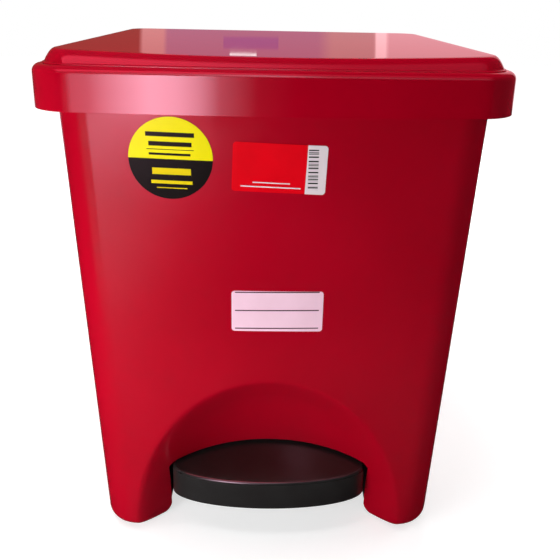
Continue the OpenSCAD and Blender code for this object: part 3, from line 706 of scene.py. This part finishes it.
bucket_plastic = moulded_grey("bucket_plastic", (0.33, 0.33, 0.34, 1), (0.27, 0.27, 0.28, 1), 0.35)
print("finish", bucket_plastic.name, "on a bucket", BUCKET_TOP - BUCKET_Z, "mm high")

# %% Bucket
FLOOR_STEPS, CURVE_STEPS, WALL_STEPS, LIP_STEPS = 12, 8, 20, 4
LIP_R, FLANGE_IN, GAP_HW, GAP_ROOM, GAP_DEPTH = 2, 0.5, 19, 1, 0.5


def in_gap(face):
    """Whether a face of the flange lies where the lift bracket passes."""
    c = face.calc_center_median()
    return abs(c.x) < GAP_HW and c.y > BUCKET_RIM[2] + GAP_ROOM and c.z > BUCKET_TOP - GAP_DEPTH


floor_z, lip_z = BUCKET_Z + BUCKET_WALL, BUCKET_TOP - LIP_R
rings = [bucket_ring(floor_z, BUCKET_WALL + BUCKET_FOOT, s) for s in steps(0, 1, FLOOR_STEPS)[1:] + [1]]
for run, rise in rounding(CURVE_STEPS)[1:]:
    rings.append(bucket_ring(floor_z + BUCKET_FOOT * run, BUCKET_WALL + BUCKET_FOOT * (1 - rise)))
for z in steps(floor_z + BUCKET_FOOT, lip_z, WALL_STEPS)[1:] + [lip_z]:
    rings.append(bucket_ring(z, BUCKET_WALL))
for run, rise in rounding(LIP_STEPS)[1:]:
    rings.append(bucket_ring(BUCKET_TOP - LIP_R * (1 - rise), BUCKET_WALL - LIP_R * run))
lip, brim = rings[-1], body_plan(RIM_Z, BUCKET_CUTS, -FLANGE_IN)
for share in (0.5, 1.0):
    rings.append([Vector(a).lerp(Vector((*b, BUCKET_TOP)), share) for a, b in zip(lip, brim)])
bucket_mesh = loft(list(reversed(rings)), close_at=(0, (BUCKET_LOW[1] + BUCKET_LOW[2]) / 2, floor_z))
bmesh.ops.delete(bucket_mesh, geom=[f for f in bucket_mesh.faces if in_gap(f)], context="FACES")
bmesh.ops.recalc_face_normals(bucket_mesh, faces=bucket_mesh.faces)
floor_face = min(bucket_mesh.faces, key=lambda f: f.calc_center_median().z)
if floor_face.normal.z < 0:
    bmesh.ops.reverse_faces(bucket_mesh, faces=bucket_mesh.faces)
bucket = finish_piece("bucket", bucket_mesh, "body", bucket_plastic,
                      wall=BUCKET_WALL, edge=0.5, outwards=False)
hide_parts("inner_bucket")

# %% [markdown]
# ## The films on the front
# Three thin films lie on the bowed front: a round two-coloured sticker, a small label and a panel to
# write on. A flat plate would stand off the bow, so each film is a fine flat mesh whose points are set
# on the wall, a hair above it, with the thickness added behind. The print is part of each finish.

# %% Film shapes
FILM, FILM_GAP, FILM_R = 0.3, 0.05, 2.5


def front_at(x, z):
    """Place of the bowed front wall at a spot."""
    hw = BODY_W / 2 - lean(z)
    big = (hw * hw + FRONT_BOW ** 2) / (2 * FRONT_BOW)
    return -BODY_D / 2 + lean(z) + big - math.sqrt(big * big - x * x)


def round_film(radius):
    """Flat disc with rings of points."""
    bm = bmesh.new()
    bmesh.ops.create_circle(bm, cap_ends=True, cap_tris=True, segments=96, radius=radius)
    spokes = [e for e in bm.edges if not e.is_boundary]
    bmesh.ops.subdivide_edges(bm, edges=spokes, cuts=6, use_grid_fill=True)
    return bm


def square_film(w, h):
    """Flat rectangle of small squares with round corners."""
    bm = bmesh.new()
    bmesh.ops.create_grid(bm, x_segments=20, y_segments=10, size=0.5)
    bmesh.ops.scale(bm, vec=(w, h, 1), verts=bm.verts)
    corners = [v for v in bm.verts if len(v.link_edges) == 2]
    bmesh.ops.bevel(bm, geom=corners, offset=FILM_R, segments=6, profile=0.5, affect="VERTICES", material=-1)
    return bm


def lay_film(name, bm, finish, x, z, tilt=0.0):
    """Film from a mesh drawn flat in XY, turned and laid on the front wall about a spot."""
    turn = math.radians(tilt)
    for v in bm.verts:
        across, up = v.co.x, v.co.y
        px = x + across * math.cos(turn) - up * math.sin(turn)
        pz = z + across * math.sin(turn) + up * math.cos(turn)
        v.co = (px, front_at(px, pz) - FILM - FILM_GAP, pz)
    bmesh.ops.recalc_face_normals(bm, faces=bm.faces)
    bm.faces.ensure_lookup_table()
    if bm.faces[0].normal.y > 0:
        bmesh.ops.reverse_faces(bm, faces=bm.faces)
    return finish_piece(name, bm, "body", finish, wall=FILM, outwards=False, smooth=False)


print("the front wall bows to y", front_at(0, RIM_Z), "at the rim")

# %% [markdown]
# ## The print on the films
# The print is drawn from straight edges in Object coordinates: a share that is 1 on one side of a line
# and 0 on the other, with a soft step narrower than a fifth of a millimetre. Two such shares make a
# stripe. Films are slightly glossy and never quite even, so a little noise goes into the tone.

# %% Print helpers
SOFT_STEP = 0.08


def above(mat, coords, x, z, slope=0.0):
    """Share that is 1 above a line through a spot, in millimetres."""
    run = calc(mat, "SUBTRACT", place_along(mat, coords, "X"), x * MM)
    height = calc(mat, "SUBTRACT", place_along(mat, coords, "Z"), calc(mat, "MULTIPLY", run, slope))
    return spread(mat, height, (z - SOFT_STEP) * MM, (z + SOFT_STEP) * MM, 0.0, 1.0)


def right_of(mat, coords, x, z, slope=0.0):
    """Share that is 1 to the right of an upright line through a spot, in millimetres."""
    run = calc(mat, "SUBTRACT", place_along(mat, coords, "Z"), z * MM)
    place = calc(mat, "SUBTRACT", place_along(mat, coords, "X"), calc(mat, "MULTIPLY", run, slope))
    return spread(mat, place, (x - SOFT_STEP) * MM, (x + SOFT_STEP) * MM, 0.0, 1.0)


def stripe(mat, coords, x0, x1, z, thick, slope=0.0):
    """Share of a level stripe between two places."""
    low = above(mat, coords, x0, z - thick / 2, slope)
    high = above(mat, coords, x0, z + thick / 2, slope)
    band = calc(mat, "SUBTRACT", low, high)
    ends = calc(mat, "SUBTRACT", right_of(mat, coords, x0, z), right_of(mat, coords, x1, z))
    return calc(mat, "MULTIPLY", band, ends)


def printed(mat, coords, ground, ink, rows, slope=0.0):
    """Ground colour with level bars of ink; each row gives its ends, its height and its thickness."""
    for x0, x1, z, thick in rows:
        ground = mixed(mat, stripe(mat, coords, x0, x1, z, thick, slope), ground, ink)
    return ground


def film_finish(name, rough):
    """Printed film: its material, shader, coordinates and an uneven tone."""
    mat, shader, coords = new_finish(name, IOR=1.5, Specular_IOR_Level=0.12)
    handled = patches(mat, coords, size=12, detail=4.0, ends=(rough, rough + 0.06))
    put(mat, shader.inputs["Roughness"], handled)
    relief(mat, shader, coords, size=5, detail=2.0, strength=0.1, depth=0.05)
    return mat, shader, coords, patches(mat, coords, size=25, detail=3.0)


print("a printed edge is", 2 * SOFT_STEP, "mm wide")

# %% [markdown]
# ## The round sticker
# A disc of film, yellow above and black below, with plain bars and one thin rule. The two halves meet on
# a line that leans a little, because it was stuck on by hand, so every bar leans with it.

# %% Round sticker
STICKER_X, STICKER_Z, STICKER_R = -77, 358, 31.5
STICKER_SPLIT, STICKER_LEAN = 357.6, -0.02
INK_BLACK, INK_YELLOW = (0.006, 0.005, 0.004, 1), (0.8, 0.62, 0.004, 1)
upper_rows = [(-95, -59, 376.6, 3.4), (-93, -61, 369.4, 3.4),
              (-94.5, -59.5, 365.2, 0.5), (-93, -62, 361.6, 1.8)]
lower_rows = [(-91, -62, 348.4, 5), (-92, -61, 340, 2.6), (-88, -65, 335.4, 0.7)]
sticker_film, shader, coords, tone = film_finish("sticker_film", 0.12)
yellow = mixed(sticker_film, tone, (0.92, 0.81, 0.003, 1), (0.87, 0.76, 0.003, 1))
yellow = printed(sticker_film, coords, yellow, INK_BLACK, upper_rows, STICKER_LEAN)
black = printed(sticker_film, coords, INK_BLACK, INK_YELLOW, lower_rows, STICKER_LEAN)
upper = above(sticker_film, coords, STICKER_X, STICKER_SPLIT, STICKER_LEAN)
put(sticker_film, shader.inputs["Base Color"], mixed(sticker_film, upper, black, yellow))
disc = round_film(STICKER_R)
sticker = lay_film("sticker", disc, sticker_film, STICKER_X, STICKER_Z)
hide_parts("round_sticker")

# %% [markdown]
# ## The small label
# A red film with a white end, stuck on with a slight tilt. The red part has two fine bars in white along
# its lower edge. The white end has a field of fine dark bars. They could be listed one by one, but two
# rows of teeth of different pitch, multiplied, come out uneven by themselves.

# %% Small label
LABEL_X, LABEL_Z, LABEL_W, LABEL_H, LABEL_TILT = 4, 352, 70.5, 38, -2
LABEL_SLOPE = math.tan(math.radians(LABEL_TILT))
END_X, END_SLOPE = 24.1, 0.045
FIELD = (25.5, 33, 351.5, 31)
WHITE_FILM = (0.84, 0.74, 0.78, 1)
TOOTH_FROM, TOOTH_TO = 0.16, 0.2


def teeth(mat, coords, pitch):
    """Share of level bars that repeat at a pitch in millimetres."""
    sway = calc(mat, "PINGPONG", place_along(mat, coords, "Z"), pitch / 2 * MM)
    return spread(mat, sway, TOOTH_FROM * pitch * MM, TOOTH_TO * pitch * MM, 0.0, 1.0)


label_film, shader, coords, tone = film_finish("label_film", 0.12)
red_print = mixed(label_film, tone, (0.83, 0.002, 0.01, 1), (0.76, 0.002, 0.009, 1))
label_rows = [(-16, 12, 341.2, 0.9), (-25, 20, 338.2, 0.9)]
red_print = printed(label_film, coords, red_print, WHITE_FILM, label_rows, LABEL_SLOPE)
uneven = calc(label_film, "MULTIPLY", teeth(label_film, coords, 1.7), teeth(label_film, coords, 2.9))
bars = calc(label_film, "MULTIPLY", stripe(label_film, coords, *FIELD, LABEL_SLOPE), uneven)
white_end = mixed(label_film, bars, WHITE_FILM, INK_BLACK)
on_end = right_of(label_film, coords, END_X, LABEL_Z, END_SLOPE)
put(label_film, shader.inputs["Base Color"], mixed(label_film, on_end, red_print, white_end))
plate = square_film(LABEL_W, LABEL_H)
label = lay_film("label", plate, label_film, LABEL_X, LABEL_Z, LABEL_TILT)
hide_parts("small_label")

# %% [markdown]
# ## The panel to write on
# A pale, slightly pink film with three ruled lines. The lines could be thin strips, but they are print
# without any height, so they are drawn in the finish as the other bars are.

# %% Panel to write on
PANEL_X, PANEL_Z, PANEL_FILM_W, PANEL_FILM_H = 4.5, 232.5, 73.5, 36
RULE_RED, RULE_SLOPE = (0.06, 0.008, 0.016, 1), 0.01
panel_film, shader, coords, tone = film_finish("panel_film", 0.3)
pale = mixed(panel_film, tone, (0.95, 0.63, 0.77, 1), (0.9, 0.59, 0.72, 1))
rules = [(-29.5, 38, z, 1.0) for z in (249.3, 233.1, 216.9)]
ruled = printed(panel_film, coords, pale, RULE_RED, rules, RULE_SLOPE)
put(panel_film, shader.inputs["Base Color"], ruled)
plate = square_film(PANEL_FILM_W, PANEL_FILM_H)
write_panel = lay_film("write_panel", plate, panel_film, PANEL_X, PANEL_Z)
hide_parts("write_on_panel")

# %% [markdown]
# ## The pieces that keep their solids
# The base plate, the lever, the rod, the guides and the fasteners are already the right shape, so they
# keep their solids and only get finishes: zinc plated steel, black rubber, white acetal and a dark
# moulding. Each has a grain of its own at its own scale.

# %% Finishes of the kept solids
CRYSTAL = 1.5


def zinc_steel(name):
    """Zinc plated steel with the cloudy crystals of the plating and faint scratches."""
    mat, shader, coords = new_finish(name, Metallic=1.0)
    crystals = add_node(mat, "TexVoronoi", Vector=coords, Scale=1 / (CRYSTAL * MM)).outputs["Distance"]
    cloud = spread(mat, crystals, 0.0, 1.0, 0.0, 1.0)
    put(mat, shader.inputs["Base Color"], mixed(mat, cloud, (0.62, 0.63, 0.64, 1), (0.5, 0.51, 0.53, 1)))
    put(mat, shader.inputs["Roughness"], patches(mat, coords, size=3, detail=6.0, ends=(0.25, 0.4)))
    relief(mat, shader, coords, size=0.4, detail=3.0, strength=0.1, depth=0.02)
    return mat


def black_rubber(name):
    """Matt rubber with a bloom of grey."""
    mat, shader, coords = new_finish(name, IOR=1.45, Specular_IOR_Level=0.25)
    bloom = patches(mat, coords, size=5, detail=5.0, low=0.4, high=0.75)
    fresh, bloomed = (0.015, 0.015, 0.016, 1), (0.045, 0.044, 0.043, 1)
    put(mat, shader.inputs["Base Color"], mixed(mat, bloom, fresh, bloomed))
    put(mat, shader.inputs["Roughness"], spread(mat, bloom, 0.0, 1.0, 0.7, 0.85))
    relief(mat, shader, coords, size=0.5, detail=3.0, strength=0.3, depth=0.05)
    return mat


steel, rubber = zinc_steel("steel"), black_rubber("rubber")
acetal = moulded_grey("white_plastic", (0.72, 0.71, 0.67, 1), (0.64, 0.63, 0.58, 1), 0.3)
dark_plastic = satin_black("dark_plastic", 0.03)
kept = {
    steel: ("base_screws", "bracket_screws", "guide_screws", "pedal_screws", "hinge_pin_left",
            "hinge_pin_right", "push_rod", "pedal_axle", "axle_clips"),
    rubber: ("rubber_feet", "lid_bumpers", "rod_cap_upper", "rod_cap_lower"),
    acetal: ("lift_bracket", "rod_guide_upper", "rod_guide_lower"),
    dark_plastic: ("base_plate", "pedal_lever"),
}
for finish, names in kept.items():
    for name in names:
        frame["nodes"][name].material_slots[0].material = finish
    print(finish.name, "on", len(names), "nodes")

# %% [markdown]
# ## The floor
# The bin stands on a plain white floor. The camera sees the floor as white, and only the lamps' share of
# it can be shaded, so the bin keeps a soft shadow. Away from the bin the floor fades to the same white as
# the room, so that no horizon shows.

# %% Floor finish
FADE_FROM, FADE_TO = 0.55, 1.3
SHADED, WHITE, FLOOR_GREY = 0.65, 1.0, 0.54


def looked_at(mat):
    """Share that is 1 for rays from the camera, from gloss and through glass."""
    path = add_node(mat, "LightPath")
    seen = calc(mat, "MAXIMUM", path.outputs["Is Camera Ray"], path.outputs["Is Glossy Ray"])
    return calc(mat, "MAXIMUM", seen, path.outputs["Is Transmission Ray"])


def bare_material(name):
    """Material with nothing but its output."""
    mat = bpy.data.materials.new(name)
    mat.use_nodes = True
    mat.node_tree.nodes.clear()
    return mat, mat.node_tree.nodes.new("ShaderNodeOutputMaterial").inputs["Surface"]


def vector_math(mat, operation, *values):
    """Node for a sum on vectors."""
    made = mat.node_tree.nodes.new("ShaderNodeVectorMath")
    made.operation = operation
    for socket, value in zip(made.inputs, values):
        put(mat, socket, value)
    return made


def floor_white(name):
    """White floor that keeps a soft shadow near the bin and fades to plain white away from it."""
    mat, surface = bare_material(name)
    coords = add_node(mat, "TexCoord").outputs["Object"]
    away = vector_math(mat, "LENGTH", coords).outputs["Value"]
    level = spread(mat, away, FADE_FROM, FADE_TO, SHADED, WHITE)
    glow = add_node(mat, "Emission", Strength=calc(mat, "MULTIPLY", looked_at(mat), level))
    lit = add_node(mat, "BsdfDiffuse", Color=(FLOOR_GREY, FLOOR_GREY, FLOOR_GREY, 1))
    both = mat.node_tree.nodes.new("ShaderNodeAddShader")
    put(mat, both.inputs[0], lit.outputs[0])
    put(mat, both.inputs[1], glow.outputs[0])
    put(mat, surface, both.outputs[0])
    return mat


floor_finish = floor_white("floor_white")
print("floor fades to white from", FADE_FROM, "to", FADE_TO, "m")

# %% Floor
FLOOR_W = 10


def stage_plane(name, size, place, angles, finish):
    """Flat stage piece of a size at a place, turned by angles in degrees about X and then Z."""
    bm = bmesh.new()
    bmesh.ops.create_grid(bm, x_segments=1, y_segments=1, size=0.5)
    bmesh.ops.scale(bm, vec=(size[0], size[1], 1), verts=bm.verts)
    for axis, angle in zip("XZ", angles):
        bmesh.ops.rotate(bm, matrix=Matrix.Rotation(math.radians(angle), 3, axis), verts=bm.verts)
    bmesh.ops.translate(bm, vec=place, verts=bm.verts)
    obj = new_object(name, bm, finish)
    return obj


floor = stage_plane("floor", (FLOOR_W, FLOOR_W), (0, 0, 0), (0, 0), floor_finish)
print("made", floor.name, "of", FLOOR_W, "m")

# %% [markdown]
# ## Cards that show in the gloss
# Glossy plastic looks like what stands round it. A photographer would set up sheets of card and hide them
# from the camera. Here a card is a plane that glows with a tint, changes along one or two directions, and
# shows only in reflections, so it adds no light and no shadow of its own.

# %% Card helpers
def ramp_along(mat, axis, stops):
    """Colour that changes along an axis, from stops of a place in metres and a grey level or a colour."""
    first, last = stops[0][0], stops[-1][0]
    coords = add_node(mat, "TexCoord").outputs["Object"]
    ramp = mat.node_tree.nodes.new("ShaderNodeValToRGB")
    put(mat, ramp.inputs["Fac"], spread(mat, place_along(mat, coords, axis), first, last, 0.0, 1.0))
    marks = ramp.color_ramp.elements
    while len(marks) < len(stops):
        marks.new(0.5)
    for mark, (place, tone) in zip(marks, stops):
        mark.position = (place - first) / (last - first)
        mark.color = (*tone, 1) if isinstance(tone, tuple) else (tone, tone, tone, 1)
    return ramp.outputs["Color"]


def card(name, size, place, angles, tint, strength, *changes):
    """Card that is seen only in gloss, with a tint and its changes along the axes."""
    mat, surface = bare_material(name)
    colour = tint
    for axis, stops in changes:
        start = colour if isinstance(colour, bpy.types.NodeSocket) else tint[:3]
        colour = vector_math(mat, "MULTIPLY", start, ramp_along(mat, axis, stops)).outputs["Vector"]
    put(mat, surface, add_node(mat, "Emission", Color=colour, Strength=strength).outputs[0])
    obj = stage_plane(name, size, place, angles, mat)
    obj.visible_camera = False
    obj.visible_diffuse = False
    obj.visible_shadow = False
    obj.visible_transmission = False
    print("card", name, "of strength", strength)


UPRIGHT, FLAT, SIDEWAYS = (90, 0), (0, 0), (90, 90)
PINK, DUSK, PLAIN = (1.0, 0.62, 0.8, 1), (0.6, 0.35, 0.42, 1), (1, 1, 1, 1)
BLUSH, PLUM = (1.0, 0.1, 0.18, 1), (0.27, 0.12, 0.28, 1)
print("tints", PINK, DUSK, PLAIN, BLUSH, PLUM)

# %% [markdown]
# ## Cards in front, beside and above
# In front on the left a bright window, with its sill and its glow on the floor, gives the lid's skirt and
# the left of the body their pink sheen. The rest of the front stays dark, so the middle and the right keep
# their deep red. Dim cards stand at the sides. Two cards above draw the lines along the lid's edge, its
# slope and the edge of the pedal.

# %% Cards in front, beside and above
window_x = [(-1.3, 0.0), (-0.965, 0.03), (-0.87, 0.12), (-0.77, 0.18), (-0.66, 0.43), (-0.5, 0.78),
            (-0.39, 0.68), (-0.3, 0.46), (-0.21, 0.13), (-0.13, 0.06), (-0.06, 0.01), (0.1, 0.0)]
sill_x = [(-1.3, 0.0), (-0.92, 0.08), (-0.8, 0.22), (-0.6, 0.32), (-0.4, 0.05), (-0.25, 0.004), (0.1, 0.0)]
glow_x = [(-1.6, 0.4), (-0.7, 1.0), (-0.36, 0.48), (-0.2, 0.13), (-0.06, 0.01), (0.3, 0.002)]
glow_y = [(-1.5, 1.0), (-1.3, 0.9), (-0.9, 0.42), (-0.7, 0.33), (-0.5, 0.18), (-0.2, 0.22)]
card("window_card", (4, 2.28), (0, -1.6, 1.26), UPRIGHT, PINK, 20, ("X", window_x))
card("sill_card", (4, 0.12), (0, -1.6, 0.06), UPRIGHT, PINK, 20, ("X", sill_x))
card("floor_card", (5, 5), (0, 0, 0.003), FLAT, PINK, 3.8, ("X", glow_x), ("Y", glow_y))
card("side_card", (2, 3), (-1.506, -0.526, 0.005), (0, -30), DUSK, 0.03)
card("right_card", (4, 2.4), (2.0, 0, 1.2), SIDEWAYS, DUSK, 0.08)
card("left_card", (4, 2.4), (-2.0, 0.4, 1.2), SIDEWAYS, DUSK, 0.1)
front_top_x = [(-2, 0.12), (-1.0, 0.15), (-0.5, 0.5), (0.0, 1.0), (0.3, 0.25), (2, 0.08)]
front_top_z = [(1.0, 0.0), (1.45, 0.8), (1.8, 1.0), (2.4, 0.15)]
roof_x = [(-2, 1.0), (-0.3, 1.0), (0.1, 0.6), (0.4, 0.3), (2, 0.2)]
roof_y = [(-1.7, 1.0), (-0.75, 1.0), (-0.45, 0.08), (2, 0.08)]
card("front_top_card", (4, 1.4), (0, -1.59, 1.7), UPRIGHT, PINK, 5, ("X", front_top_x), ("Z", front_top_z))
card("roof_card", (5, 5), (0, 0, 2.4), FLAT, BLUSH, 6, ("X", roof_x), ("Y", roof_y))

# %% [markdown]
# ## Cards behind
# The lid's panel is seen at a low angle, so it mirrors what stands behind the bin almost like glass: a
# wall with upright bands of colour, a dark hanging on it and a thin bright gap.

# %% Cards behind
BROWN, ROSE, MAUVE = (0.2, 0.05, 0.04), (0.55, 0.25, 0.25), (0.34, 0.16, 0.24)
DUSTY, BRIGHT, PALE = (0.46, 0.23, 0.24), (1.0, 0.58, 0.62), (0.68, 0.33, 0.37)
bands = [(-1.2, BROWN), (-0.56, BROWN), (-0.545, ROSE), (-0.46, ROSE), (-0.44, MAUVE), (0.2, MAUVE),
         (0.26, DUSTY), (0.44, DUSTY), (0.45, BRIGHT), (0.49, BRIGHT), (0.5, PALE), (1.2, PALE)]
card("rear_card", (6, 2.6), (0, 2.2, 1.3), UPRIGHT, PLAIN, 1.3, ("X", bands))
card("curtain_card", (0.23, 0.05), (-0.085, 2.15, 0.645), UPRIGHT, PLUM, 1.2)
card("spark_card", (0.11, 0.012), (-0.115, 2.1, 0.69), UPRIGHT, PLAIN, 1.6)

# %% [markdown]
# ## Lamps and the room
# A soft lamp stands low and close in front on the left, so that the light falls off clearly towards the
# right as it does in the photograph. One weak lamp fills the front from the right, one above draws the
# edges of the lid, and one on the right and one behind light the sides that the photograph doesn't show.
# The room itself is white where it is looked at and gives only a little light.

# %% Lamps
def lamp(name, place, aim, size, watts):
    """Soft lamp of a width and a height at a place, turned to a point. It doesn't show in the gloss."""
    data = bpy.data.lights.new(name, "AREA")
    data.shape = "RECTANGLE"
    data.size, data.size_y = size
    data.energy = watts
    obj = bpy.data.objects.new(name, data)
    bpy.context.scene.collection.objects.link(obj)
    obj.location = place
    obj.rotation_euler = (Vector(aim) - Vector(place)).to_track_quat("-Z", "Y").to_euler()
    obj.visible_camera = False
    obj.visible_glossy = False


lamp("key_lamp", (-0.39, -0.52, 0.12), (0, -0.12, 0.17), (0.3, 0.6), 4.4)
lamp("fill_lamp", (1.3, -1.2, 0.3), (0, 0, 0.2), (1.0, 0.5), 0.4)
lamp("top_lamp", (-0.4, -0.1, 2.0), (0, 0, 0.3), (0.9, 0.9), 28)
lamp("right_lamp", (1.4, 0.45, 0.7), (0, 0, 0.2), (0.9, 0.9), 11)
lamp("rear_lamp", (0.3, 1.6, 0.9), (0, 0, 0.2), (1.0, 1.0), 20)

# %% Room
ROOM_LIGHT = 0.08
world = bpy.data.worlds.new("surroundings")
world.use_nodes = True
bpy.context.scene.world = world
room = world.node_tree.nodes["Background"]
put(world, room.inputs["Strength"], spread(world, looked_at(world), 0.0, 1.0, ROOM_LIGHT, 1.0))
room.inputs["Color"].default_value = (1, 1, 1, 1)
bpy.context.scene.view_settings.view_transform = "Standard"
print("the room gives a light of", ROOM_LIGHT)

# %% [markdown]
# ## The camera
# The photograph was taken from a little above the lid, looking down at the bin. The camera's place,
# its turn, its slight roll and its lens were fitted to the outline of the bin in the photograph. The
# bin sits low in the frame, so the lens is shifted a little, which keeps the upright edges as they are.

# %% Camera
FRAME_PX, LENS_PX, MIDDLE_PX, SENSOR = 560, 640, 200, 36
CAMERA_AT = Vector((-4.24, -621.29, 468.44)) * MM
YAW, PITCH, ROLL = 0.01956, 0.29569, -0.02024

ahead = Vector((math.sin(YAW) * math.cos(PITCH), math.cos(YAW) * math.cos(PITCH), -math.sin(PITCH)))
level = Vector((math.cos(YAW), -math.sin(YAW), 0))
down = ahead.cross(level)
right = math.cos(ROLL) * level + math.sin(ROLL) * down
up = math.sin(ROLL) * level - math.cos(ROLL) * down
turned = Matrix((right, up, -ahead)).transposed()

lens = bpy.data.cameras.new("camera")
lens.sensor_width = SENSOR
lens.lens = LENS_PX / FRAME_PX * SENSOR
lens.shift_y = (MIDDLE_PX - FRAME_PX / 2) / FRAME_PX
lens.clip_start = 0.01
camera = bpy.data.objects.new("camera", lens)
bpy.context.scene.collection.objects.link(camera)
camera.matrix_world = Matrix.Translation(CAMERA_AT) @ turned.to_4x4()
bpy.context.scene.camera = camera
print("lens", round(lens.lens, 2), "mm, shift", round(lens.shift_y, 3))
